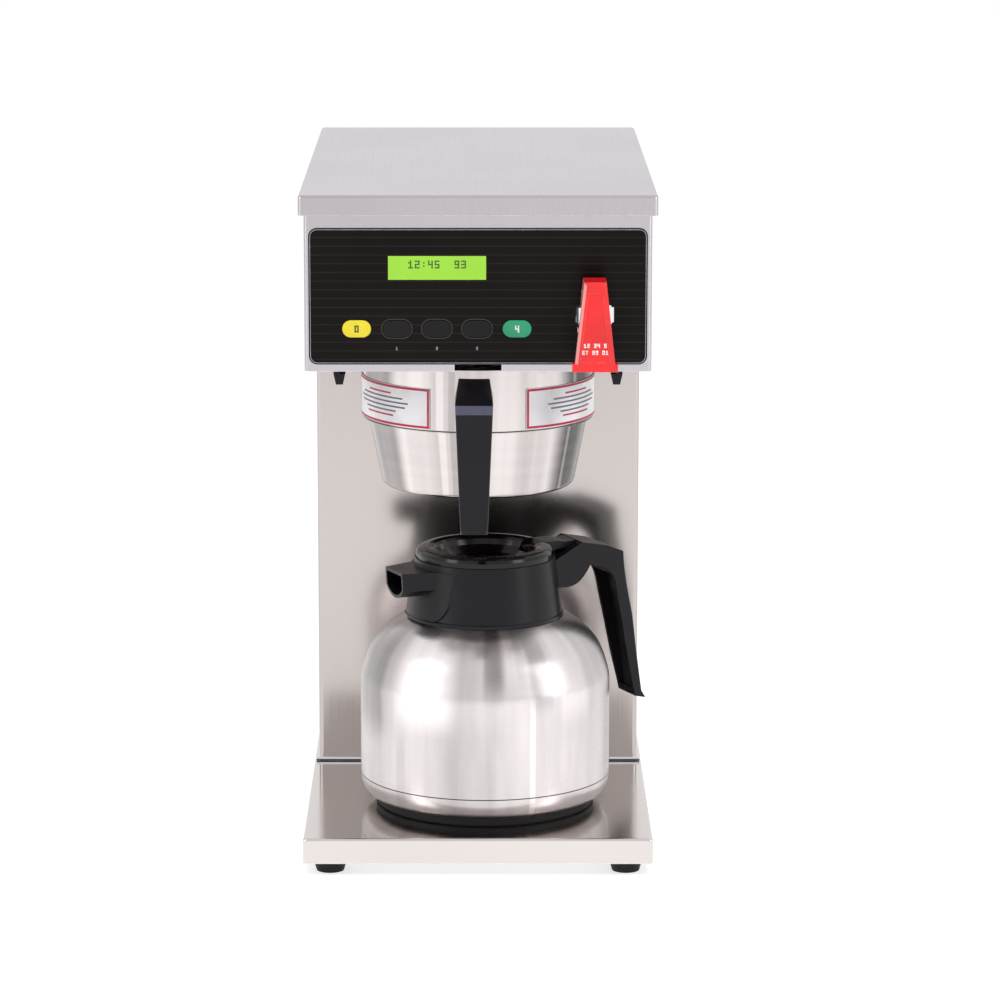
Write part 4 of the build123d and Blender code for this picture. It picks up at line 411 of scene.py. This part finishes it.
def blackWithFacetHighlight(name, look, facet):
    # the black moulding with a painted highlight on one facet, between two heights, where the facet catches
    # the light
    material = moulded(name, **look)
    tree = material.node_tree
    height = splitAxes(tree, objectPlace(tree))[2]
    above = mathNode(tree, "GREATER_THAN", height, facet["low"] * mm)
    below = mathNode(tree, "LESS_THAN", height, facet["high"] * mm)
    laidOver(material, mathNode(tree, "MULTIPLY", above, below), facet["colour"])
    return material


def sidelitRed(name, look, side):
    # the red moulding with a painted highlight: paler on the faces that look to the left, towards the light
    material = moulded(name, **look)
    tree = material.node_tree
    normal = addNode(tree, "ShaderNodeNewGeometry").outputs["Normal"]
    mask = rangeNode(tree, splitAxes(tree, normal)[0], side["start"], side["full"], 0.0, side["share"])
    laidOver(material, mask, side["colour"])
    return material


# the black and red mouldings are made paler on their edges, where the edge mask lays this colour
blackLook = {"colour": (0.006, 0.005, 0.007), "rough": 0.32, "paleEdge": (0.05, 0.05, 0.055), "shine": 0.22}
# a painted highlight on the basket handle's facet
gripFacetHighlight = {"low": 308.0, "high": 313.7, "colour": (0.085, 0.085, 0.13)}
redLook = {"colour": (0.84, 0.008, 0.010), "rough": 0.20, "grain": 2200.0, "bump": 0.00001,
           "paleEdge": (0.95, 0.30, 0.28), "coat": 0.35, "shine": 0.40}
# painted highlight on the red moulding's left-facing faces
redSideHighlight = {"start": -0.25, "full": -0.75, "share": 0.75, "colour": (0.90, 0.46, 0.44)}
mouldedLooks = {
    "blackMoulding": blackLook,
    "glossyBlack": {"colour": (0.004, 0.003, 0.003), "rough": 0.14, "grain": 900.0, "bump": 0.00001,
                    "shine": 0.30},
    "buttonBlack": {"colour": (0.006, 0.005, 0.005), "rough": 0.35, "grain": 1500.0, "bump": 0.00002,
                    "shine": 0.2},
    "footRubber": {"colour": (0.010, 0.010, 0.010), "rough": 0.62, "grain": 1800.0, "bump": 0.00006,
                   "shine": 0.3},
    "yellowCap": {"colour": (0.80, 0.66, 0.03), "rough": 0.35},
    "greenCap": {"colour": (0.02, 0.36, 0.17), "rough": 0.35},
    "whitePlate": {"colour": (0.93, 0.91, 0.94), "rough": 0.3},
    "circuitBoard": {"colour": (0.02, 0.18, 0.07), "rough": 0.4, "grain": 600.0},
    "varnishedIron": {"colour": (0.10, 0.07, 0.05), "rough": 0.45, "grain": 700.0},
}
finish.update({name: moulded(name, **look) for name, look in mouldedLooks.items()})
finish["handleBlack"] = blackWithFacetHighlight("handleBlack", blackLook, gripFacetHighlight)
finish["redMoulding"] = sidelitRed("redMoulding", redLook, redSideHighlight)
print("stage: plastics made")


# the overlay's film, the display and the inks

filmLook = {"ground": (0.0035, 0.002, 0.0015), "line": (0.014, 0.011, 0.010), "pitch": 5.6,
            "lineShare": 0.12, "rough": 0.3, "grain": 1500.0, "cloud": 18.0, "bump": 0.00002, "strength": 0.4,
            "shine": 0.12}
glowLook = {"colour": (0.26, 0.55, 0.03), "rough": 0.18, "cloudScale": 26.0, "cloudDetail": 2.0,
            "cloud": 0.35, "least": 0.82, "strength": 0.35}
inkGrain = {"Grain": 3000.0, "Cloud": 160.0}
inkLooks = {
    "inkDark": {"colour": (0.02, 0.05, 0.01), "rough": 0.5},
    "inkPale": {"colour": (0.30, 0.32, 0.36), "rough": 0.5},
    "inkWhite": {"colour": (0.90, 0.86, 0.84), "rough": 0.5},
    "inkCrimson": {"colour": (0.55, 0.012, 0.06), "rough": 0.5},
    "inkGrey": {"colour": (0.040, 0.036, 0.036), "rough": 0.5},
    "inkSlate": {"colour": (0.16, 0.15, 0.19), "rough": 0.5},
    "seamShadow": {"colour": (0.05, 0.045, 0.045), "rough": 0.4},
}


def printedFilm(name, look):
    # fine horizontal lines on a brownish black ground
    material, tree, shader = startMaterial(name, look["ground"], 0.0, look["rough"])
    height = splitAxes(tree, objectPlace(tree))[2]
    phase = mathNode(tree, "FRACT", mathNode(tree, "MULTIPLY", height, 1 / (look["pitch"] * mm)))
    mask = mathNode(tree, "LESS_THAN", phase, look["lineShare"])
    colour = mixColours(tree, mask, (*look["ground"], 1), look["line"])
    skin = placeGroup(tree, mouldedGrain, Grain=look["grain"], Cloud=look["cloud"])
    toned(tree, shader, colour, skin["Tone"])
    roughened(tree, shader, look["rough"], skin["Rough"])
    bumped(tree, shader, skin["Height"], look["bump"], look["strength"])
    shader.inputs["Specular IOR Level"].default_value = look["shine"]
    return material


def litDisplay(name, look):
    # a back-lit window, a little uneven in its brightness
    material, tree, shader = startMaterial(name, look["colour"], 0.0, look["rough"])
    cloud = noiseNode(tree, objectPlace(tree), look["cloudScale"], look["cloudDetail"])
    factor = mathNode(tree, "MULTIPLY_ADD", cloud, look["cloud"], look["least"])
    colour = vectorNode(tree, "SCALE", look["colour"], scale=factor)
    tree.links.new(colour, shader.inputs["Base Color"])
    tree.links.new(colour, shader.inputs["Emission Color"])
    shader.inputs["Emission Strength"].default_value = look["strength"]
    return material


def printedInk(name, colour, rough):
    material, tree, shader = startMaterial(name, colour, 0.0, rough)
    skin = placeGroup(tree, mouldedGrain, **inkGrain)
    toned(tree, shader, colour, skin["Tone"])
    roughened(tree, shader, rough, skin["Rough"])
    return material


finish["overlayFilm"] = printedFilm("overlayFilm", filmLook)
finish["displayGlow"] = litDisplay("displayGlow", glowLook)
finish.update({name: printedInk(name, **look) for name, look in inkLooks.items()})
print("stage: film, display and inks made")


# which finish each node has

finishNodes = {
    "steelCover": ("top_cover",),
    "steelBase": ("base_pan",),
    "steelFront": ("head_front_panel",),
    "steelColumn": ("left_side_panel", "right_side_panel", "splash_panel", "rear_cover"),
    "steelInner": ("base_plate", "head_floor", "tank", "tank_lid", "tank_cradle", "spray_head"),
    "steelBasket": ("brew_basket",),
    "steelCarafe": ("carafe_shell",),
    "steelLiner": ("carafe_liner",),
    "chromePlate": ("wire_insert", "grip_screws", "cover_screws", "heating_element", "tank_probes",
                    "faucet_spring", "faucet_stem", "faucet_body", "faucet_bonnet", "faucet_pin"),
    "brassTurned": ("faucet_nut", "inlet_fitting", "inlet_valve", "dispense_valve"),
    "copperTube": ("spray_tube", "faucet_tube"),
    "blackMoulding": ("left_rail", "right_rail", "carafe_collar", "carafe_handle", "thumb_lever",
                      "cord_gland", "terminal_block", "pour_valve"),
    "glossyBlack": ("carafe_lid",),
    "handleBlack": ("basket_handle",),
    "buttonBlack": ("half_batch_button", "full_batch_button", "select_button"),
    "footRubber": ("rubber_feet", "carafe_foot", "tank_gasket", "lid_seal"),
    "redMoulding": ("faucet_handle",),
    "yellowCap": ("power_button",),
    "greenCap": ("brew_button",),
    "whitePlate": ("ring_plates",),
    "circuitBoard": ("button_board", "control_board", "display_module"),
    "varnishedIron": ("transformer",),
    "overlayFilm": ("control_overlay",),
    "displayGlow": ("display_window",),
}
nodeFinish = {member: finish[name] for name, members in finishNodes.items() for member in members}
for name, node in nodes.items():
    node.data.materials.clear()
    node.data.materials.append(nodeFinish[name])
print("stage: materials given to", len(nodes), "nodes")


# mesh helpers

def newPiece(name, mesh, material, body):
    piece = bpy.data.objects.new(name, mesh)
    bpy.context.scene.collection.objects.link(piece)
    mesh.materials.append(material)
    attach(piece, body)
    return piece


def meshFrom(name, verts, faces):
    mesh = bpy.data.meshes.new(name)
    mesh.from_pydata(verts, [], faces)
    mesh.update()
    return mesh


def roundedOutline(width, height, radius, steps=8):
    # points of a rectangle with round corners, anticlockwise, about its middle
    points = []
    for corner, (sideX, sideZ) in enumerate(((1, 1), (-1, 1), (-1, -1), (1, -1))):
        middleX = sideX * (width / 2 - radius)
        middleZ = sideZ * (height / 2 - radius)
        for step in range(steps + 1):
            angle = math.pi / 2 * (corner + step / steps)
            points.append((middleX + radius * math.cos(angle), middleZ + radius * math.sin(angle)))
    return points


def flatRing(name, centre, size, radius, line, proud, material, body):
    # a thin printed line round a rounded shape on a face that looks to the front
    outer = roundedOutline(size[0], size[1], radius)
    inner = roundedOutline(size[0] - 2 * line, size[1] - 2 * line, radius - line)
    count = len(outer)
    verts = []
    for ring, y in ((outer, -proud), (inner, -proud), (outer, 0), (inner, 0)):
        verts += [(centre[0] + x, centre[1] + y, centre[2] + z) for x, z in ring]
    faces = []
    for i in range(count):
        j = (i + 1) % count
        faces.append((i, count + i, count + j, j))
        faces.append((2 * count + i, i, j, 2 * count + j))
        faces.append((count + i, 3 * count + i, 3 * count + j, count + j))
        faces.append((3 * count + i, 2 * count + i, 2 * count + j, 3 * count + j))
    return newPiece(name, meshFrom(name, verts, faces), material, body)


digitCells = {
    "0": ("111", "101", "101", "101", "111"), "1": ("010", "110", "010", "010", "111"),
    "2": ("111", "001", "111", "100", "111"), "3": ("111", "001", "111", "001", "111"),
    "4": ("101", "101", "111", "001", "001"), "5": ("111", "100", "111", "001", "111"),
    "6": ("111", "100", "111", "101", "111"), "7": ("111", "001", "010", "010", "010"),
    "8": ("111", "101", "111", "101", "111"), "9": ("111", "101", "111", "001", "111"),
    ":": ("000", "010", "000", "010", "000"), " ": ("000", "000", "000", "000", "000"),
}
cellFaces = ((0, 1, 2, 3), (7, 6, 5, 4), (0, 4, 5, 1), (1, 5, 6, 2), (2, 6, 7, 3), (3, 7, 4, 0))


def digitRow(name, text, centre, cell, proud, material, body, join=0.96):
    # plain numbers made of small square cells, on a face that looks to the front
    verts, faces = [], []
    across = len(text) * 4 - 1
    half = cell * join / 2
    for index, mark in enumerate(text):
        for row, line in enumerate(digitCells[mark]):
            for column, on in enumerate(line):
                if on == "0":
                    continue
                x = centre[0] + (index * 4 + column - (across - 1) / 2) * cell
                z = centre[2] + (2 - row) * cell
                start = len(verts)
                for y in (centre[1] - proud, centre[1]):
                    verts += [(x - half, y, z - half), (x + half, y, z - half), (x + half, y, z + half),
                              (x - half, y, z + half)]
                faces += [tuple(start + corner for corner in face) for face in cellFaces]
    return newPiece(name, meshFrom(name, verts, faces), material, body)


def curvedPatch(name, axis, radius, angles, heights, proud, material, body):
    # a thin patch wrapped round an upright axis, between two angles in degrees and two heights
    steps = max(2, int(abs(angles[1] - angles[0]) / 2))
    verts, faces = [], []
    for step in range(steps + 1):
        angle = math.radians(angles[0] + (angles[1] - angles[0]) * step / steps)
        for distance in (radius, radius + proud):
            x = axis[0] + distance * math.cos(angle)
            y = axis[1] + distance * math.sin(angle)
            verts += [(x, y, height) for height in heights]
    for step in range(steps):
        a = step * 4
        b = a + 4
        faces += [(a + 2, b + 2, b + 3, a + 3), (b, a, a + 1, b + 1), (a + 3, b + 3, b + 1, a + 1)]
        faces.append((a, b, b + 2, a + 2))
    last = steps * 4
    faces += [(0, 2, 3, 1), (last + 1, last + 3, last + 2, last)]
    return newPiece(name, meshFrom(name, verts, faces), material, body)


def slab(name, x, y, z, material, body, arris=0.0):
    # a thin strip between two values along each axis, with rounded arrises where it is thick enough
    verts = [(a, b, c) for a in x for b in y for c in z]
    faces = [(0, 1, 3, 2), (4, 6, 7, 5), (0, 4, 5, 1), (2, 3, 7, 6), (0, 2, 6, 4), (1, 5, 7, 3)]
    piece = newPiece(name, meshFrom(name, verts, faces), material, body)
    if arris:
        edge = piece.modifiers.new("softArris", "BEVEL")
        edge.width = arris
        edge.segments = 3
    return piece


def joined(name, pieces, body):
    # several small pieces of one printing made one object
    mesh = bpy.data.meshes.new(name)
    build = bmesh.new()
    for piece in pieces:
        build.from_mesh(piece.data)
    build.to_mesh(mesh)
    build.free()
    material = pieces[0].data.materials[0]
    for piece in pieces:
        bpy.data.objects.remove(piece)
    return newPiece(name, mesh, material, body)


# printing on the control panel

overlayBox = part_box("control_overlay")
overlayFace = overlayBox[0].y
overlayMiddle = (overlayBox[0] + overlayBox[1]) / 2
overlaySize = overlayBox[1] - overlayBox[0]
outlineLook = {"line": 0.4, "corner": 5.5, "inset": 0.8}
printProud = 0.08 * mm
flatRing("overlay_outline", (overlayMiddle.x, overlayFace, overlayMiddle.z),
         (overlaySize.x - 2 * outlineLook["inset"] * mm, overlaySize.z - 2 * outlineLook["inset"] * mm),
         (outlineLook["corner"] - outlineLook["inset"]) * mm, outlineLook["line"] * mm, printProud,
         finish["inkPale"], "housing")

buttonNumbers = {"power_button": "0", "half_batch_button": "1", "full_batch_button": "2",
                 "select_button": "3", "brew_button": "4"}
buttonLook = {"flange": 1.4, "ring": 0.45, "clear": 0.9, "markDrop": 12.6, "markCell": 0.42, "capCell": 0.9,
              "capInks": {"power_button": "inkDark", "brew_button": "inkWhite"}}
tiny = 0.01 * mm  # keeps a ring's corner radius just under half its height


def printButton(name, mark):
    # a coloured cap carries its number, and a black one has a ring round it and its number below
    low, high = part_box(name)
    middle = (low + high) / 2
    if name in buttonLook["capInks"]:
        ink = finish[buttonLook["capInks"][name]]
        digitRow(name + "_mark", mark, (middle.x, low.y, middle.z), buttonLook["capCell"] * mm, printProud,
                 ink, name + "_body")
        return
    margin = 2 * (buttonLook["clear"] - buttonLook["flange"]) * mm
    width = high.x - low.x + margin
    height = high.z - low.z + margin
    flatRing(name + "_ring", (middle.x, overlayFace, middle.z), (width, height), height / 2 - tiny,
             buttonLook["ring"] * mm, printProud, finish["inkGrey"], "housing")
    digitRow(name + "_mark", mark, (middle.x, overlayFace, middle.z - buttonLook["markDrop"] * mm),
             buttonLook["markCell"] * mm, printProud, finish["inkPale"], "housing")


for name, mark in buttonNumbers.items():
    printButton(name, mark)

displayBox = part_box("display_window")
displayMiddle = (displayBox[0] + displayBox[1]) / 2
displayLook = {"text": "12:45  93", "rise": 2.2, "cell": 1.05, "proud": 0.05, "join": 0.86}
digitRow("display_digits", displayLook["text"],
         (displayMiddle.x, displayBox[0].y, displayMiddle.z + displayLook["rise"] * mm),
         displayLook["cell"] * mm, displayLook["proud"] * mm, finish["inkDark"], "housing",
         join=displayLook["join"])
print("stage: panel printed")


# the two bordered plates on the basket's ring: from and span are degrees, barSpan and the bars' numbers are
# shares of the plate, and the rest is in millimetres

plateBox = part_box("ring_plates")
plateLook = {"radius": 77.15, "from": 24.0, "span": 66.0, "inset": 0.3, "line": 1.5, "proud": 0.05,
             "barHeight": 1.1, "barPitch": 2.9, "barDrop": 3.2, "barSpan": 0.86,
             "bars": (("crimson", 0.34), ("slate", 0.62), ("slate", 0.74), ("slate", 0.68),
                      ("slate", 0.46), ("crimson", 0.40))}


def printPlate(label, side):
    # a crimson border, with crimson and slate bars inside it
    radius = plateLook["radius"] * mm
    degree = math.degrees(mm / radius)  # for one millimetre round the ring
    low, high = plateBox[0].z, plateBox[1].z
    inset = plateLook["inset"] * mm
    line = plateLook["line"] * mm
    a = -90 + side * (plateLook["from"] + plateLook["inset"] * degree)
    b = -90 + side * (plateLook["from"] + plateLook["span"] - plateLook["inset"] * degree)
    width = side * plateLook["line"] * degree
    patches = {
        "crimson": [((a, b), (high - inset - line, high - inset)),
                    ((a, b), (low + inset, low + inset + line)),
                    ((a, a + width), (low + inset, high - inset)),
                    ((b - width, b), (low + inset, high - inset))],
        "slate": [],
    }
    middle = (a + b) / 2
    half = abs(b - a) / 2 * plateLook["barSpan"]
    top = high - inset - line - plateLook["barDrop"] * mm
    for index, (ink, share) in enumerate(plateLook["bars"]):
        height = top - index * plateLook["barPitch"] * mm
        angles = (middle - half * share, middle + half * share)
        patches[ink].append((angles, (height - plateLook["barHeight"] * mm, height)))
    for ink, material, part in (("crimson", "inkCrimson", "border"), ("slate", "inkSlate", "bars")):
        pieces = [curvedPatch(f"{label}_{part}_{index}", bayAxis, radius, sorted(angles), heights,
                              plateLook["proud"] * mm, finish[material], "basket")
                  for index, (angles, heights) in enumerate(patches[ink])]
        joined(f"{label}_plate_{part}", pieces, "basket")


printPlate("left", -1)
printPlate("right", 1)
print("stage: ring plates printed")


# plain numbers on the red handle

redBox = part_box("faucet_handle")
redMarks = {"cell": 0.53, "join": 1.02, "recess": 0.6, "rows": ((357.6, "12 34 5"), (353.2, "67 89 01"))}
redMiddle = (redBox[0].x + redBox[1].x) / 2
redFace = redBox[0].y + redMarks["recess"] * mm
for height, text in redMarks["rows"]:
    digitRow(f"faucet_handle_mark_{int(height)}", text, (redMiddle, redFace, height * mm),
             redMarks["cell"] * mm, printProud, finish["inkWhite"], "faucet_lever", join=redMarks["join"])


# painted shadow in the joints: the dark lines round the carafe's foot and the basket's ring, and the joint at
# the splash panel's foot

seamProud = 0.03 * mm
seamLooks = {
    "carafe_seam_line": {"axis": carafeAxis, "radius": 83.5, "low": 46.65, "width": 0.7, "body": "carafe"},
    "basket_ring_line": {"axis": bayAxis, "radius": 76.3, "low": 289.9, "width": 0.9, "body": "basket"},
}
for name, look in seamLooks.items():
    heights = (look["low"] * mm, (look["low"] + look["width"]) * mm)
    curvedPatch(name, look["axis"], look["radius"] * mm, (0, 360), heights, seamProud, finish["seamShadow"],
                look["body"])

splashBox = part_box("splash_panel")
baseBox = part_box("base_pan")
jointLook = {"dark": 1.0, "bead": 1.6, "darkProud": 0.08, "beadProud": 0.5, "inset": 1.4, "rise": 0.05,
             "sink": 0.02, "arris": 0.22}
jointX = (baseBox[0].x + jointLook["inset"] * mm, baseBox[1].x - jointLook["inset"] * mm)
jointZ = baseBox[1].z + jointLook["rise"] * mm
beadZ = jointZ + jointLook["dark"] * mm
jointBack = splashBox[0].y + jointLook["sink"] * mm
slab("splash_joint_gap", jointX, (splashBox[0].y - jointLook["darkProud"] * mm, jointBack), (jointZ, beadZ),
     finish["seamShadow"], "housing")
slab("splash_joint_bead", jointX, (splashBox[0].y - jointLook["beadProud"] * mm, jointBack),
     (beadZ, beadZ + jointLook["bead"] * mm), finish["chromePlate"], "housing", jointLook["arris"] * mm)
print("stage: handle marks and seams made")


# the faucet's spring, which shortens as the handle lifts the stem, is drawn as its own copy, and the original
# node is hidden

springMesh = nodes["faucet_spring"].data.copy()
springMesh.materials.clear()
springCoil = newPiece("faucet_spring_coil", springMesh, finish["chromePlate"], "housing")
springCoil.matrix_world = nodes["faucet_spring"].matrix_world.copy()
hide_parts("faucet_spring")
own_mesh(springCoil)
print("stage: spring made")


# soft arrises on the mouldings and sheets, so that their edges catch light

arrisLook = {"segments": 2, "leastBend": 38}
arrisWidths = {
    "faucet_handle": 1.2, "basket_handle": 0.8, "carafe_handle": 0.8, "carafe_collar": 0.6,
    "thumb_lever": 0.5, "left_rail": 0.5, "right_rail": 0.5, "head_front_panel": 0.3, "splash_panel": 0.3,
    "left_side_panel": 0.3, "right_side_panel": 0.3, "control_overlay": 0.25, "cord_gland": 0.5,
    "inlet_fitting": 0.5, "carafe_lid": 0.3, "faucet_bonnet": 0.3, "faucet_body": 0.3, "rubber_feet": 0.6,
}
for name, width in arrisWidths.items():
    edge = nodes[name].modifiers.new("softArris", "BEVEL")
    edge.width = width * mm
    edge.segments = arrisLook["segments"]
    edge.limit_method = "ANGLE"
    edge.angle_limit = math.radians(arrisLook["leastBend"])
print("stage: arrises softened")


# camera, room, floor and lamps

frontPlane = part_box("top_cover")[0].y
cameraLook = {"distance": 2.6327, "height": 0.7629, "pitch": 79.0, "lens": 150.55, "sensor": 36,
              "shiftX": 0.022, "clip": 50}
roomLook = {"seen": 1.0, "light": 0.50}
floorLook = {"half": 6.0, "colour": (0.8, 0.8, 0.8, 1), "glow": 0.64}
lamps = {
    "keyAbove": {"place": (0.2, -1.6, 2.2), "aim": (0, 0, 0.2), "size": (1.8, 1.2), "power": 27,
                 "mirrored": False},
    "fillLeft": {"place": (-1.9, -1.1, 1.0), "aim": (0, 0, 0.22), "size": (0.7, 1.6), "power": 11,
                 "mirrored": True},
    "fillRight": {"place": (1.9, -1.1, 1.0), "aim": (0, 0, 0.22), "size": (0.7, 1.6), "power": 11,
                  "mirrored": True},
}
white = (1, 1, 1, 1)


def makeCamera(look):
    camera = bpy.data.objects.new("photoCamera", bpy.data.cameras.new("photoCamera"))
    bpy.context.scene.collection.objects.link(camera)
    camera.location = (0, frontPlane - look["distance"], look["height"])
    camera.rotation_euler = (math.radians(look["pitch"]), 0, 0)
    camera.data.lens = look["lens"]
    camera.data.sensor_width = look["sensor"]
    camera.data.shift_x = look["shiftX"]
    camera.data.clip_end = look["clip"]
    bpy.context.scene.camera = camera


def paleRays(tree):
    # 1 where the camera, a reflection or a refraction sees the surface directly
    path = addNode(tree, "ShaderNodeLightPath").outputs
    seen = mathNode(tree, "MAXIMUM", path["Is Camera Ray"], path["Is Glossy Ray"])
    return mathNode(tree, "MAXIMUM", seen, path["Is Transmission Ray"])


def makeRoom(look):
    world = bpy.data.worlds.new("softRoom")
    bpy.context.scene.world = world
    world.use_nodes = True
    tree = world.node_tree
    tree.nodes.clear()
    pale = addNode(tree, "ShaderNodeBackground", [("Color", white), ("Strength", look["seen"])])
    soft = addNode(tree, "ShaderNodeBackground", [("Color", white), ("Strength", look["light"])])
    links = [(0, paleRays(tree)), (1, soft.outputs[0]), (2, pale.outputs[0])]
    mix = addNode(tree, "ShaderNodeMixShader", links)
    addNode(tree, "ShaderNodeOutputWorld", [("Surface", mix.outputs[0])])


def makeFloor(look):
    half = look["half"]
    verts = [(-half, -half, 0), (half, -half, 0), (half, half, 0), (-half, half, 0)]
    mesh = meshFrom("paleFloor", verts, [(0, 1, 2, 3)])
    floor = bpy.data.objects.new("paleFloor", mesh)
    bpy.context.scene.collection.objects.link(floor)
    material = bpy.data.materials.new("paleFloor")
    material.use_nodes = True
    tree = material.node_tree
    tree.nodes.clear()
    matt = addNode(tree, "ShaderNodeBsdfDiffuse", [("Color", look["colour"])])
    strength = mathNode(tree, "MULTIPLY", paleRays(tree), look["glow"])
    glow = addNode(tree, "ShaderNodeEmission", [("Color", white), ("Strength", strength)])
    both = addNode(tree, "ShaderNodeAddShader", [(0, matt.outputs[0]), (1, glow.outputs[0])])
    addNode(tree, "ShaderNodeOutputMaterial", [("Surface", both.outputs[0])])
    mesh.materials.append(material)


def makeLamp(name, look):
    lamp = bpy.data.lights.new(name, "AREA")
    lamp.shape = "RECTANGLE"
    lamp.size, lamp.size_y = look["size"]
    lamp.energy = look["power"]
    holder = bpy.data.objects.new(name, lamp)
    bpy.context.scene.collection.objects.link(holder)
    holder.location = look["place"]
    holder.visible_glossy = look["mirrored"]
    way = Vector(look["aim"]) - Vector(look["place"])
    holder.rotation_euler = way.to_track_quat("-Z", "Y").to_euler()


makeCamera(cameraLook)
makeRoom(roomLook)
makeFloor(floorLook)
for name, look in lamps.items():
    makeLamp(name, look)
bpy.context.scene.view_settings.view_transform = "Standard"
print("stage: camera, floor and lamps placed")
